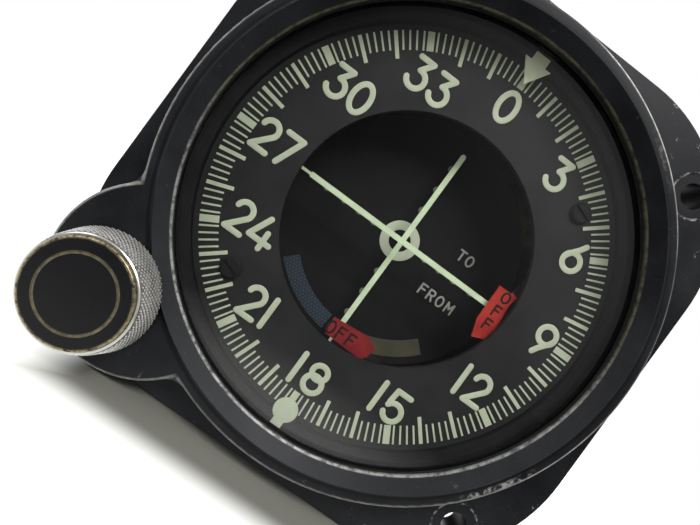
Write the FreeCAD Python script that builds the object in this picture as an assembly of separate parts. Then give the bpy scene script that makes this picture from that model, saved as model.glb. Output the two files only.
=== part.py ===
"""Course deviation indicator for a 3 1/8 inch panel opening, as an assembly of separate pieces.

Frame: +Z up, +X right, the dial faces -Y. The origin is on the dial's axis, in the plane where
the flange's back meets the panel. Millimetres and degrees. Angles run from +X towards +Z.
"""
import FreeCAD, Part
import math
import os

Vector = FreeCAD.Vector
FORWARD_AXIS = Vector(0, 1, 0)
CUT = 1.0

# Window and drum, which the other round sizes follow
GLASS_RADIUS = 36.0
DRUM_SETBACK = 1.2
DRUM_RADIUS = GLASS_RADIUS - DRUM_SETBACK
DRUM_WALL = 1.5
RING_TEETH = 77
PINION_TEETH = 12
TOOTH_STAND = 3.7
GEAR_MODULE = 2 * (DRUM_RADIUS + TOOTH_STAND) / RING_TEETH

# Flange and bezel
BEZEL_WIDTH = 3.0
BEZEL_RADIUS = GLASS_RADIUS + BEZEL_WIDTH
FLANGE_MARGIN = 2.2
FLANGE_SIDE = 2 * (BEZEL_RADIUS + FLANGE_MARGIN)
FLANGE_CORNER_RADIUS = 24.4
FLANGE_THICKNESS = 6.3
MOUNT_SPACING = 62.87
MOUNT_HOLE_RADIUS = 2.05
SPOT_FACE_RADIUS = 3.6
SPOT_FACE_DEPTH = 0.2
BEZEL_EDGE_ROUND = 0.7
LEDGE_WIDTH = 1.7
LEDGE_HEIGHT = 4.0
CREST_STEP = 0.6
RIM_RADIUS = GLASS_RADIUS - 1.5
RIM_DROP = 1.7
LIP_THICKNESS = 0.9

# Lobe and knob
LOBE_RADIUS = 13.9
LOBE_BLEND_RADIUS = 3.0
KNOB_AXIS_RADIUS = GEAR_MODULE * (RING_TEETH + PINION_TEETH) / 2
LOBE_SETBACK = 6.0
LOBE_CENTRE_RADIUS = KNOB_AXIS_RADIUS - LOBE_SETBACK
KNOB_ANGLE = 225.0
KNOB_FRONT_RADIUS = 7.75
KNOB_BASE_RADIUS = 8.7
KNOB_EDGE = 0.3
KNOB_BASE_EDGE = 0.4
KNOB_BASE_EDGE_HEIGHT = 0.7
KNOB_HEIGHT = 5.4
KNOB_GAP = 0.5
KNOB_CAP_RADIUS = KNOB_FRONT_RADIUS - 0.4
KNOB_CAP_THICKNESS = 1.2
KNOB_CAP_RECESS = 0.7
KNOB_CAP_EDGE_ROUND = 0.25
CAP_GROOVE_OUTER = 5.4
CAP_GROOVE_INNER = 5.1
CAP_GROOVE_DEPTH = 0.15
CAP_FLOOR = 0.8
KNOB_SKIRT_WALL = 1.6
KNOB_BOSS_RADIUS = 4.2
KNOB_HOLLOW_DEPTH = 2.2
SET_SCREW_RADIUS = 0.8
SET_SCREW_LENGTH = 4.6
SHAFT_RADIUS = 1.6
BUSHING_WALL = 1.0
SHAFT_CLIP_WIDTH = 0.5
SHAFT_CLIP_STAND = 1.0
SHAFT_CLIP_DEPTH = 0.4
SHAFT_CLIP_MOUTH = 1.8
BUSHING_FLANGE = 0.9
BUSHING_FLANGE_THICKNESS = 0.3
GEAR_COVER_LAP = 0.4
GEAR_COVER_EAR = 2.2
GEAR_COVER_THICKNESS = 1.0
GEAR_COVER_SCREW_PLACE = 9.8
GEAR_COVER_SCREW_SHANK = 0.7
GEAR_COVER_SCREW_HEAD = 1.4
GEAR_COVER_SCREW_LENGTH = 4.0
GEAR_COVER_SCREW_HEAD_HEIGHT = 0.8

# Glass
GLASS_THICKNESS = 1.8
GASKET_THICKNESS = 0.5
GASKET_WIDTH = 1.4
SPRING_RING_INNER = GLASS_RADIUS - 1.1
SPRING_RING_DEPTH = 0.8
SPRING_RING_THICKNESS = 0.9
SPRING_RING_GAP = 4.0

# Dial and its carriers
DIAL_SETBACK = 3.2
DIAL_RADIUS = DRUM_RADIUS - DRUM_WALL - 0.3
DIAL_APERTURE = 20.0
DIAL_THICKNESS = 1.0
DIAL_SCREW_INSET = 5.4
DIAL_SCREW_PLACE = DIAL_RADIUS - DIAL_SCREW_INSET
DIAL_SCREW_ANGLES = (45.0, 225.0)
DIAL_SCREW_HEAD_RADIUS = 1.7
DIAL_SCREW_HEAD_HEIGHT = 0.7
DIAL_SCREW_SHANK = 0.9
DIAL_SCREW_REACH = 4.0
DIAL_SCREW_CROWN = 0.8
DIAL_SCREW_SLOT = 0.4
DIAL_SCREW_SLOT_ANGLE = 20.0
DIAL_POST_RADIUS = 1.4
FACE_SETBACK = 8.9
FACE_RADIUS = 21.5
FACE_THICKNESS = 0.8
FACE_SPACER_RADIUS = 1.6
FACE_SPACER_INSET = 3.0
FACE_SPACER_PLACE = FACE_RADIUS - FACE_SPACER_INSET
FACE_SPACER_ANGLES = (90.0, 215.0, 322.0)
WORD_PLACES = ((11.2, 4.3, 4.6), (11.1, -4.4, 8.6))
WORD_HEIGHT = 2.4

# Gears
FINE_MODULE = 0.75
PRESSURE_ANGLE = 20.0
ADDENDUM = 0.7
DEDENDUM = 1.1
TOOTH_THINNING = 0.12
DRUM_TEETH = 60
IDLER_TEETH = 15
IDLER_ANGLE = 135.0
STAGE_PINION_TEETH = 12
RESOLVER_TEETH = 48
RING_GEAR_SETBACK = 0.7
RING_GEAR_THICKNESS = 1.6
DRUM_LENGTH = 12.2
DRUM_TOOTH_WIDTH = 3.0
IDLER_THICKNESS = 2.4
IDLER_SHAFT_RADIUS = 1.2
STAGE_PINION_LENGTH = 3.2
RESOLVER_GEAR_THICKNESS = 2.0
POINTER_THICKNESS = 0.25
ARROW_SETBACK = 1.0
ARROW_STEM_LENGTH = 1.5
ARROW_HEAD_LENGTH = 3.8
ARROW_TAIL = GLASS_RADIUS - ARROW_SETBACK
ARROW_SHOULDER = ARROW_TAIL - ARROW_STEM_LENGTH
ARROW_TIP = ARROW_SHOULDER - ARROW_HEAD_LENGTH
ARROW_HALF_WIDTH = 2.4
ARROW_STEM_HALF = 1.3
MARKER_STEM_HALF = 0.9
MARKER_BALL_RADIUS = 1.95
MARKER_STEM_LENGTH = 2.8
MARKER_BALL_PLACE = ARROW_TAIL - MARKER_STEM_LENGTH
IDLER_HUB_RADIUS = 3.0
IDLER_SHAFT_STAND = 0.6
RESOLVER_GEAR_SETBACK = 1.5
STAGE_PINION_OVERLAP = 0.6
RESOLVER_GEAR_HOLE = 3.6
RESOLVER_GEAR_HOLE_PLACE = 10.0
RESOLVER_GEAR_HOLE_ANGLES = (45.0, 135.0, 225.0, 315.0)
RESOLVER_SHAFT_STAND = 0.5

# Clearances
RUNNING_CLEARANCE = 0.05
FIT_CLEARANCE = 0.05
LOOSE_CLEARANCE = 0.15
AXIAL_CLEARANCE = 0.2

# Sleeve, plates and case
SLEEVE_FLANGE_THICKNESS = 2.0
NECK_STAND = 3.4
NECK_RADIUS = DRUM_RADIUS + NECK_STAND
BEARING_LENGTH = 5.0
SLEEVE_RELIEF = 0.55
NECK_LENGTH = 13.5
SLEEVE_SCREW_PLACE = NECK_RADIUS + 2.4
SLEEVE_SCREW_ANGLES = (25.0, 115.0, 155.0, 295.0)
SLEEVE_SCREW_HEAD = 2.0
SLEEVE_SCREW_HEAD_HEIGHT = 1.0
SLEEVE_SCREW_SHANK = 0.85
SLEEVE_SCREW_LENGTH = 4.0
SLEEVE_SCREW_SLOT = 0.5
DRUM_CLIP_GAP = 3.0
DRUM_CLIP_WIDTH = 0.7
DRUM_CLIP_STAND = 0.35
DRUM_CLIP_DEPTH = 0.6
PLATE_THICKNESS = 2.2
PLATE_EDGE_CLEARANCE = 0.1
PLATE_SCREW_PLACE = NECK_RADIUS - 1.4
PLATE_SCREW_ANGLES = (5.0, 95.0, 185.0, 275.0)
PLATE_SCREW_HEAD = 1.5
PLATE_SCREW_HEAD_HEIGHT = 0.9
PLATE_SCREW_SHANK = 0.75
PLATE_SCREW_LENGTH = 6.0
PILLAR_RADIUS = 2.0
PILLAR_END_RADIUS = 1.2
PILLAR_PLACES = ((-16.5, -28.6), (16.5, -28.6), (-28.6, 16.5), (-28.6, -16.5), (23.3, 23.3))
REAR_PLATE_FRONT = 65.0
REAR_PLATE_GAP = 0.4
ARM_SLOT_CLEARANCE = 0.5
RESOLVER_LENGTH = 30.0
RESOLVER_ROOM = 6.8
CASE_LENGTH = REAR_PLATE_FRONT + PLATE_THICKNESS + RESOLVER_LENGTH + RESOLVER_ROOM
CASE_CLEARANCE = 0.05
CASE_WALL = 0.65
CASE_SCREW_ANGLES = (0.0, 90.0, 180.0, 270.0)
CASE_SCREW_SETBACK = 8.0
CASE_SCREW_HEAD = 1.7
CASE_SCREW_SHANK = 0.9
CASE_SCREW_DEPTH = 2.4

# Deviation meters
METER_PIVOT = 50.5
METER_CENTRE = 18.2
YOKE_OUTER = 9.6
YOKE_INNER = 7.6
YOKE_HEIGHT = 10.0
CORE_RADIUS = 5.2
CORE_HEIGHT = 9.0
CORE_PIN_RADIUS = 0.9
COIL_OUTER = 6.9
COIL_INNER = 5.9
COIL_HEIGHT = 12.4
COIL_WIDTH = 3.0
STAFF_RADIUS = 0.4
STAFF_LENGTH = 1.9
HUB_PLACE = 0.25
HUB_RADIUS = 1.5
HUB_THICKNESS = 0.5
BRIDGE_GAP = 1.2
BRIDGE_THICKNESS = 1.5
BRIDGE_WIDTH = 4.0
BRIDGE_POST_RADIUS = 0.9
JEWEL_RADIUS = 1.2
JEWEL_LENGTH = 2.1
JEWEL_CUP_DEPTH = 0.7
JEWEL_STAND = 0.3
CORE_PIN_SETBACK = 0.3
BRIDGE_SETBACK = 0.4
STAFF_SEAT = 0.3
BRACKET_CASE_GAP = 0.6
BRACKET_WIDTH = 8.0
BRACKET_THICKNESS = 2.4
BRACKET_END = 3.0

# Needles
CDI_NEEDLE_SETBACK = 5.75
GS_NEEDLE_SETBACK = 2.5
GS_NEEDLE_REST_ANGLE = 0.5
NEEDLE_WIDTH = 0.9
NEEDLE_THICKNESS = 0.25
NEEDLE_TIP = 17.6
NEEDLE_PAINT_END = 18.4
NECK_WIDTH = 0.45
ARM_WIDTH = 0.7
ARM_THICKNESS = 0.5
ARM_SWEEP_AT_PLATE = 12.9
TAIL_LENGTH = 6.2
TAIL_WEIGHT_RADIUS = 0.9

# Flags and their small meters
FLAG_SETBACK = 1.45
FLAG_THICKNESS = 0.25
NAV_FLAG_PIVOT = (17.5, -20.5)
NAV_FLAG_OUTLINE = ((-2.15, -16.5), (4.13, -15.9), (6.2, -16.8), (5.3, -19.6), (-1.8, -19.4))
GS_FLAG_PIVOT = (21.5, 15.0)
GS_FLAG_OUTLINE = ((16.4, 3.1), (19.4, 3.1), (20.1, -4.0), (19.8, -5.2), (17.5, -6.2), (16.5, -3.3))
FLAG_ARM_WIDTH = 1.2
FLAG_HUB_RADIUS = 1.4
FLAG_SHAFT_RADIUS = 0.6
VANE_PIVOT = (-2.0, -0.1)
VANE_INNER = 6.0
VANE_OUTER = 16.6
VANE_HALF_ANGLE = 6.0
VANE_SETBACK = 0.5
VANE_ARM_HALF = 0.4
VANE_ARM_LAP = 0.5
HUB_STAND = 0.8
SMALL_METER_NECK_STAND = 0.4
SMALL_METER_RADIUS = 5.0
SMALL_METER_LENGTH = 10.0
SMALL_METER_NECK = 2.0
SMALL_METER_CUP = 7.0
NUT_ACROSS = 3.4
NUT_THICKNESS = 1.3

# Resolver
RESOLVER_RADIUS = 13.5
RESOLVER_EDGE = 1.0
RESOLVER_PILOT_RADIUS = 8.0
RESOLVER_FLANGE_GROOVE = 1.2
RESOLVER_SHAFT_RADIUS = 1.6
RESOLVER_SHAFT_SOCKET = 12.0
CLAMP_ANGLES = (30.0, 150.0, 270.0)
CLAMP_RADIUS = 3.2
CLAMP_THICKNESS = 0.9
CLAMP_LAP = 0.8

# Rear cover and connector
COVER_THICKNESS = 3.0
COVER_SPIGOT = 3.0
COVER_SPIGOT_WALL = 2.0
COVER_EDGE = 0.8
COVER_SCREW_PLACE = 34.0
COVER_SCREW_ANGLES = (45.0, 135.0, 225.0, 315.0)
CONNECTOR_SIDE = 26.0
CONNECTOR_FLANGE = 2.0
CONNECTOR_SHELL_RADIUS = 10.0
CONNECTOR_SHELL_WALL = 1.2
CONNECTOR_LENGTH = 12.0
CONNECTOR_SCREW_SPACING = 19.6
CONNECTOR_PIN_RADIUS = 0.8
CONNECTOR_PIN_RING_RADII = (2.2, 5.8)
CONNECTOR_PIN_COUNTS = (3, 9)
CONNECTOR_PIN_TAIL = 2.0
CONNECTOR_INSERT_THICKNESS = 6.0
CONNECTOR_PIN_REACH = 7.0
SMALL_SCREW_HEAD = 1.9
SMALL_SCREW_HEAD_HEIGHT = 1.1
SMALL_SCREW_SHANK = 1.0
SMALL_SCREW_LENGTH = 7.0
ROD_RADIUS = 2.2

# Planes that follow from the sizes above
FLANGE_FRONT = -FLANGE_THICKNESS
LEDGE_Y = FLANGE_FRONT - LEDGE_HEIGHT
CREST_Y = LEDGE_Y - CREST_STEP
RIM_Y = CREST_Y + RIM_DROP
GASKET_FRONT = RIM_Y + LIP_THICKNESS
GLASS_FRONT = GASKET_FRONT + GASKET_THICKNESS
GLASS_BACK = GLASS_FRONT + GLASS_THICKNESS
SPRING_RING_BACK = GLASS_BACK + SPRING_RING_THICKNESS
DIAL_FRONT = FLANGE_FRONT + DIAL_SETBACK
DIAL_BACK = DIAL_FRONT + DIAL_THICKNESS
RING_FRONT = DIAL_FRONT - RING_GEAR_SETBACK
RING_BACK = RING_FRONT + RING_GEAR_THICKNESS
DRUM_BACK = RING_BACK + DRUM_LENGTH + AXIAL_CLEARANCE
FACE_FRONT = DIAL_FRONT + FACE_SETBACK
FACE_BACK = FACE_FRONT + FACE_THICKNESS
PLATE_FRONT = NECK_LENGTH
PLATE_BACK = PLATE_FRONT + PLATE_THICKNESS
REAR_PLATE_BACK = REAR_PLATE_FRONT + PLATE_THICKNESS
KNOB_BACK = CREST_Y - KNOB_GAP
KNOB_FRONT = KNOB_BACK - KNOB_HEIGHT

# Radii that follow
GEAR_CAVITY_RADIUS = GEAR_MODULE * RING_TEETH / 2 + ADDENDUM + LOOSE_CLEARANCE
PINION_POCKET_RADIUS = GEAR_MODULE * PINION_TEETH / 2 + ADDENDUM + LOOSE_CLEARANCE
IDLER_PLACE_RADIUS = GEAR_MODULE * (DRUM_TEETH - IDLER_TEETH) / 2
GLASS_BORE_RADIUS = GLASS_RADIUS + LOOSE_CLEARANCE
CASE_INNER = NECK_RADIUS + CASE_CLEARANCE
CASE_OUTER = CASE_INNER + CASE_WALL
PLATE_RADIUS = CASE_INNER - PLATE_EDGE_CLEARANCE


def polar(radius, angle):
    """The (x, z) place at a radius and an angle from +X towards +Z."""
    return (radius * math.cos(math.radians(angle)), radius * math.sin(math.radians(angle)))


KNOB_X, KNOB_Z = polar(KNOB_AXIS_RADIUS, KNOB_ANGLE)
LOBE_X, LOBE_Z = polar(LOBE_CENTRE_RADIUS, KNOB_ANGLE)
IDLER_X, IDLER_Z = polar(IDLER_PLACE_RADIUS, IDLER_ANGLE)


def cylinder(radius, front, back, x=0.0, z=0.0):
    """A round bar along Y."""
    return Part.makeCylinder(radius, back - front, Vector(x, front, z), FORWARD_AXIS)


def tube(outer, inner, front, back, x=0.0, z=0.0):
    """A round bar along Y with a hole right through."""
    hole = cylinder(inner, front - CUT, back + CUT, x, z)
    return cylinder(outer, front, back, x, z).cut(hole)


def block(x_span, y_span, z_span):
    """A box between three pairs of limits."""
    size = [span[1] - span[0] for span in (x_span, y_span, z_span)]
    return Part.makeBox(size[0], size[1], size[2], Vector(x_span[0], y_span[0], z_span[0]))


def turned(profile, x=0.0, z=0.0):
    """A solid of revolution about a line along Y; the profile holds (radius, y) points."""
    points = [Vector(x + radius, y, z) for radius, y in profile]
    face = Part.Face(Part.makePolygon(points + points[:1]))
    return face.revolve(Vector(x, 0, z), FORWARD_AXIS, 360)


def prism(outline, front, back):
    """A plate along Y from a closed outline of (x, z) points."""
    points = [Vector(x, front, z) for x, z in outline]
    face = Part.Face(Part.makePolygon(points + points[:1]))
    return face.extrude(Vector(0, back - front, 0))


def along(radius, length, start, direction):
    """A round bar from a point along any direction."""
    return Part.makeCylinder(radius, length, start, direction)


def fuse_all(shapes):
    """One solid from shapes that overlap or share faces."""
    joined = shapes[0]
    for shape in shapes[1:]:
        joined = joined.fuse(shape)
    return joined.removeSplitter()


def cut_all(shape, tools):
    """A shape with each tool cut away."""
    for tool in tools:
        shape = shape.cut(tool)
    return shape


def save(node, shape):
    """Write one piece, or one group of identical pieces, as a STEP file."""
    if isinstance(shape, list):
        shape = Part.makeCompound(shape)
    shape.exportStep("parts/" + node + ".step")


def involute(angle):
    """The involute function of a pressure angle in radians."""
    return math.tan(angle) - angle


def gear_outline(module, teeth, tip_height, root_depth, thinning, tooth_angle):
    """The outline of an external gear with one tooth centred on tooth_angle."""
    pitch_radius = module * teeth / 2
    base_radius = pitch_radius * math.cos(math.radians(PRESSURE_ANGLE))
    pitch_half = math.pi / (2 * teeth) - thinning / (2 * pitch_radius)
    pitch_involute = involute(math.radians(PRESSURE_ANGLE))
    flank = []
    for radius in (pitch_radius - root_depth, pitch_radius, pitch_radius + tip_height):
        pressure = math.acos(min(1.0, base_radius / radius))
        flank.append((radius, pitch_half + pitch_involute - involute(pressure)))
    outline = []
    for tooth in range(teeth):
        centre = math.radians(tooth_angle) + 2 * math.pi * tooth / teeth
        for radius, half in flank:
            outline.append(polar(radius, math.degrees(centre - half)))
        for radius, half in reversed(flank):
            outline.append(polar(radius, math.degrees(centre + half)))
    return outline


def gear(module, teeth, front, back, tooth_angle, x=0.0, z=0.0):
    """An external spur gear along Y."""
    outline = gear_outline(module, teeth, ADDENDUM * module, DEDENDUM * module,
                           TOOTH_THINNING * module, tooth_angle)
    return prism([(x + px, z + pz) for px, pz in outline], front, back)


def internal_gear_space(module, teeth, front, back, space_angle):
    """The space inside an internal gear, with one tooth space centred on space_angle."""
    outline = gear_outline(module, teeth, DEDENDUM * module, ADDENDUM * module,
                           -TOOTH_THINNING * module, space_angle)
    return prism(outline, front, back)


def rounded_square(side, corner_radius, front, back):
    """A square plate with round corners."""
    half = side / 2
    reach = half - corner_radius
    shapes = [block((-half, half), (front, back), (-reach, reach)),
              block((-reach, reach), (front, back), (-half, half))]
    for x in (-reach, reach):
        for z in (-reach, reach):
            shapes.append(cylinder(corner_radius, front, back, x, z))
    return fuse_all(shapes)


def arc_edge(start, middle, end, y):
    """An arc through three (x, z) points in a plane square to Y."""
    places = [Vector(x, y, z) for x, z in (start, middle, end)]
    return Part.Arc(places[0], places[1], places[2]).toShape()


def bezel_base(ring_radius, lobe_radius, blend_radius, front, back):
    """The round base of the bezel with the knob's lobe blended into it."""
    distance = LOBE_CENTRE_RADIUS
    ring_reach = ring_radius + blend_radius
    lobe_reach = lobe_radius + blend_radius
    on_line = (ring_reach ** 2 - lobe_reach ** 2 + distance ** 2) / (2 * distance)
    off_line = math.sqrt(ring_reach ** 2 - on_line ** 2)
    blend_turn = math.degrees(math.atan2(off_line, on_line))
    sides = []
    for sign in (-1, 1):
        centre = polar(ring_reach, KNOB_ANGLE + sign * blend_turn)
        on_ring = polar(ring_radius, KNOB_ANGLE + sign * blend_turn)
        share = lobe_radius / lobe_reach
        on_lobe = (LOBE_X + (centre[0] - LOBE_X) * share, LOBE_Z + (centre[1] - LOBE_Z) * share)
        inward = ((on_ring[0] + on_lobe[0]) / 2 - centre[0], (on_ring[1] + on_lobe[1]) / 2 - centre[1])
        size = math.hypot(*inward)
        middle = (centre[0] + inward[0] / size * blend_radius, centre[1] + inward[1] / size * blend_radius)
        sides.append((on_ring, middle, on_lobe))
    lobe_end = polar(distance + lobe_radius, KNOB_ANGLE)
    ring_end = polar(ring_radius, KNOB_ANGLE + 180)
    low, high = sides
    edges = [arc_edge(high[0], ring_end, low[0], front), arc_edge(low[0], low[1], low[2], front),
             arc_edge(low[2], lobe_end, high[2], front), arc_edge(high[2], high[1], high[0], front)]
    face = Part.Face(Part.Wire(Part.__sortEdges__(edges)))
    return face.extrude(Vector(0, back - front, 0))


def mount_places():
    """The three mounting holes; the knob takes the fourth corner."""
    half = MOUNT_SPACING / 2
    return [(-half, half), (half, half), (half, -half)]


def gear_cover_plate(front, back, clearance):
    """The outline of the plate behind the knob's pinion, with a clearance all round."""
    reach = PINION_POCKET_RADIUS + GEAR_COVER_LAP + clearance
    shapes = [cylinder(reach, front, back, KNOB_X, KNOB_Z)]
    for x, z in gear_cover_screw_places():
        shapes.append(cylinder(GEAR_COVER_EAR + clearance, front, back, x, z))
    half = GEAR_COVER_EAR + clearance
    bar = block((-GEAR_COVER_SCREW_PLACE, GEAR_COVER_SCREW_PLACE), (front, back), (-half, half))
    bar.rotate(Vector(0, 0, 0), FORWARD_AXIS, -(KNOB_ANGLE + 90))
    bar.translate(Vector(KNOB_X, 0, KNOB_Z))
    shapes.append(bar)
    return fuse_all(shapes)


def gear_cover_screw_places():
    """The two screws of the gear cover, each side of the knob's axis."""
    places = []
    for sign in (-1, 1):
        x, z = polar(GEAR_COVER_SCREW_PLACE, KNOB_ANGLE + 90)
        places.append((KNOB_X + sign * x, KNOB_Z + sign * z))
    return places


def make_bezel_housing():
    """The casting: flange, raised bezel, lobe, bores and pockets."""
    flange = rounded_square(FLANGE_SIDE, FLANGE_CORNER_RADIUS, FLANGE_FRONT, 0.0)
    base = bezel_base(BEZEL_RADIUS, LOBE_RADIUS, LOBE_BLEND_RADIUS, LEDGE_Y, 0.0)
    rounded = [edge for edge in base.Edges if abs(edge.BoundBox.YMax - LEDGE_Y) < 0.01]
    base = base.makeFillet(BEZEL_EDGE_ROUND, rounded)
    crest_radius = BEZEL_RADIUS - LEDGE_WIDTH
    crown = turned([(RIM_RADIUS, RIM_Y), (crest_radius - CREST_STEP, CREST_Y), (crest_radius, LEDGE_Y),
                    (crest_radius, GASKET_FRONT), (RIM_RADIUS, GASKET_FRONT)])
    window = cylinder(RIM_RADIUS, CREST_Y - CUT, GASKET_FRONT + CUT)
    housing = fuse_all([flange, base]).cut(window)
    funnel = turned([(0, LEDGE_Y - CUT), (crest_radius, LEDGE_Y - CUT),
                     (crest_radius, LEDGE_Y), (RIM_RADIUS, RIM_Y), (0, RIM_Y)])
    housing = housing.cut(funnel)
    housing = housing.fuse(crown).removeSplitter()
    cavity_front = RING_FRONT - AXIAL_CLEARANCE
    tools = [cylinder(GLASS_BORE_RADIUS, GASKET_FRONT, cavity_front + CUT),
             cylinder(SPRING_RING_INNER + 2 * SPRING_RING_DEPTH + LOOSE_CLEARANCE, GLASS_BACK,
                      SPRING_RING_BACK),
             cylinder(GEAR_CAVITY_RADIUS, cavity_front, CUT),
             cylinder(PINION_POCKET_RADIUS, cavity_front, CUT, KNOB_X, KNOB_Z),
             cylinder(SHAFT_RADIUS + FIT_CLEARANCE + BUSHING_WALL, LEDGE_Y - CUT, 0.0, KNOB_X, KNOB_Z),
             gear_cover_plate(-GEAR_COVER_THICKNESS, CUT, FIT_CLEARANCE)]
    for x, z in mount_places():
        tools.append(cylinder(MOUNT_HOLE_RADIUS, FLANGE_FRONT - CUT, CUT, x, z))
        tools.append(cylinder(SPOT_FACE_RADIUS, FLANGE_FRONT - LEDGE_HEIGHT, FLANGE_FRONT + SPOT_FACE_DEPTH,
                              x, z))
    for angle in SLEEVE_SCREW_ANGLES:
        x, z = polar(SLEEVE_SCREW_PLACE, angle)
        tools.append(cylinder(SLEEVE_SCREW_SHANK, -SLEEVE_SCREW_LENGTH, CUT, x, z))
        tools.append(cylinder(SLEEVE_SCREW_HEAD + FIT_CLEARANCE, -SLEEVE_SCREW_HEAD_HEIGHT, CUT, x, z))
    for x, z in gear_cover_screw_places():
        tools.append(cylinder(GEAR_COVER_SCREW_SHANK, -GEAR_COVER_SCREW_LENGTH, CUT, x, z))
    return cut_all(housing, tools)


def countersunk_screw(head, shank, head_height, length, x, z):
    """A flush screw driven from behind, with its head's top in the plane y = 0 and a slot."""
    body = turned([(0, 0), (head, 0), (shank, -head_height), (shank, -length), (0, -length)], x, z)
    slot = block((x - head, x + head), (-head_height / 2, CUT), (z - head / 8, z + head / 8))
    return body.cut(slot)


def make_glass_pieces():
    """The window, its gasket and the spring ring behind it."""
    save("cover_glass", cylinder(GLASS_RADIUS, GLASS_FRONT, GLASS_BACK))
    save("glass_gasket", tube(GLASS_RADIUS, GLASS_RADIUS - GASKET_WIDTH, GASKET_FRONT, GLASS_FRONT))
    outer = SPRING_RING_INNER + 2 * SPRING_RING_DEPTH
    ring = tube(outer, SPRING_RING_INNER, GLASS_BACK, SPRING_RING_BACK)
    gap = block((-SPRING_RING_GAP / 2, SPRING_RING_GAP / 2),
                (GLASS_BACK - CUT, SPRING_RING_BACK + CUT), (-outer - CUT, 0.0))
    save("glass_retaining_ring", ring.cut(gap))


def make_dial_pieces():
    """The fixed dial, its screws and the posts that carry it from the front plate."""
    dial = tube(DIAL_RADIUS, DIAL_APERTURE, DIAL_FRONT, DIAL_BACK)
    screws = []
    posts = []
    for angle in DIAL_SCREW_ANGLES:
        x, z = polar(DIAL_SCREW_PLACE, angle)
        shank_end = DIAL_BACK + DIAL_SCREW_REACH
        dial = dial.cut(cylinder(DIAL_SCREW_SHANK + FIT_CLEARANCE, DIAL_FRONT - CUT, DIAL_BACK + CUT, x, z))
        head_front = DIAL_FRONT - DIAL_SCREW_HEAD_HEIGHT
        screw = turned([(0, head_front), (DIAL_SCREW_HEAD_RADIUS * DIAL_SCREW_CROWN, head_front),
                        (DIAL_SCREW_HEAD_RADIUS, DIAL_FRONT - DIAL_SCREW_HEAD_HEIGHT / 2),
                        (DIAL_SCREW_HEAD_RADIUS, DIAL_FRONT), (DIAL_SCREW_SHANK, DIAL_FRONT),
                        (DIAL_SCREW_SHANK, shank_end), (0, shank_end)], x, z)
        reach = DIAL_SCREW_HEAD_RADIUS + CUT
        slot = block((x - reach, x + reach), (head_front - CUT, head_front + DIAL_SCREW_HEAD_HEIGHT / 2),
                     (z - DIAL_SCREW_SLOT / 2, z + DIAL_SCREW_SLOT / 2))
        slot.rotate(Vector(x, 0, z), FORWARD_AXIS, DIAL_SCREW_SLOT_ANGLE)
        screws.append(screw.cut(slot))
        post = cylinder(DIAL_POST_RADIUS, DIAL_BACK, PLATE_FRONT, x, z)
        posts.append(post.cut(cylinder(DIAL_SCREW_SHANK, DIAL_BACK - CUT, shank_end, x, z)))
    save("azimuth_dial", dial)
    save("dial_screws", screws)
    save("dial_posts", posts)


def make_face_pieces():
    """The deviation face, the windows with the two words and the spacers behind it."""
    face = cylinder(FACE_RADIUS, FACE_FRONT, FACE_BACK)
    windows = []
    for x, z, width in WORD_PLACES:
        x_span = (x - width / 2, x + width / 2)
        z_span = (z - WORD_HEIGHT / 2, z + WORD_HEIGHT / 2)
        opening = block((x_span[0] - FIT_CLEARANCE, x_span[1] + FIT_CLEARANCE),
                        (FACE_FRONT - CUT, FACE_BACK + CUT),
                        (z_span[0] - FIT_CLEARANCE, z_span[1] + FIT_CLEARANCE))
        face = face.cut(opening)
        windows.append(block(x_span, (FACE_FRONT, FACE_BACK), z_span))
    spacers = []
    for angle in FACE_SPACER_ANGLES:
        x, z = polar(FACE_SPACER_PLACE, angle)
        spacers.append(cylinder(FACE_SPACER_RADIUS, FACE_BACK, PLATE_FRONT, x, z))
    save("face_plate", face)
    save("word_windows", windows)
    save("face_plate_spacers", spacers)


def make_course_ring():
    """The ring gear with its drum, the clip that keeps it and the two markers on it."""
    rim = gear(GEAR_MODULE, RING_TEETH, RING_FRONT, RING_BACK, KNOB_ANGLE)
    drum = cylinder(DRUM_RADIUS, RING_BACK, DRUM_BACK)
    ring = rim.fuse(drum)
    bore = DRUM_RADIUS - DRUM_WALL
    clip_front = RING_BACK + AXIAL_CLEARANCE + BEARING_LENGTH + AXIAL_CLEARANCE
    clip_back = clip_front + DRUM_CLIP_WIDTH
    groove = tube(DRUM_RADIUS + CUT, DRUM_RADIUS - DRUM_CLIP_DEPTH, clip_front, clip_back)
    toothed_front = DRUM_BACK - DRUM_TOOTH_WIDTH
    space = internal_gear_space(GEAR_MODULE, DRUM_TEETH, toothed_front - CUT, DRUM_BACK + CUT, IDLER_ANGLE)
    ring = cut_all(ring, [cylinder(bore, RING_FRONT - CUT, toothed_front), space, groove])
    save("course_ring_gear", ring)
    clip = tube(DRUM_RADIUS + DRUM_CLIP_STAND, DRUM_RADIUS - DRUM_CLIP_DEPTH, clip_front, clip_back)
    gap = block((-DRUM_CLIP_GAP / 2, DRUM_CLIP_GAP / 2), (clip_front - CUT, clip_back + CUT),
                (0, 2 * DRUM_RADIUS))
    save("course_ring_clip", clip.cut(gap))
    front = RING_FRONT - POINTER_THICKNESS
    half, stem_half = ARROW_HALF_WIDTH, ARROW_STEM_HALF
    arrow = prism([(0, ARROW_TIP), (half, ARROW_SHOULDER), (stem_half, ARROW_SHOULDER),
                   (stem_half, ARROW_TAIL),
                   (-stem_half, ARROW_TAIL), (-stem_half, ARROW_SHOULDER), (-half, ARROW_SHOULDER)],
                  front, RING_FRONT)
    save("course_arrow", arrow)
    stem = block((-MARKER_STEM_HALF, MARKER_STEM_HALF), (front, RING_FRONT),
                 (-ARROW_TAIL, -MARKER_BALL_PLACE))
    ball = cylinder(MARKER_BALL_RADIUS, front, RING_FRONT, 0.0, -MARKER_BALL_PLACE)
    save("reciprocal_marker", fuse_all([stem, ball]))


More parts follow.
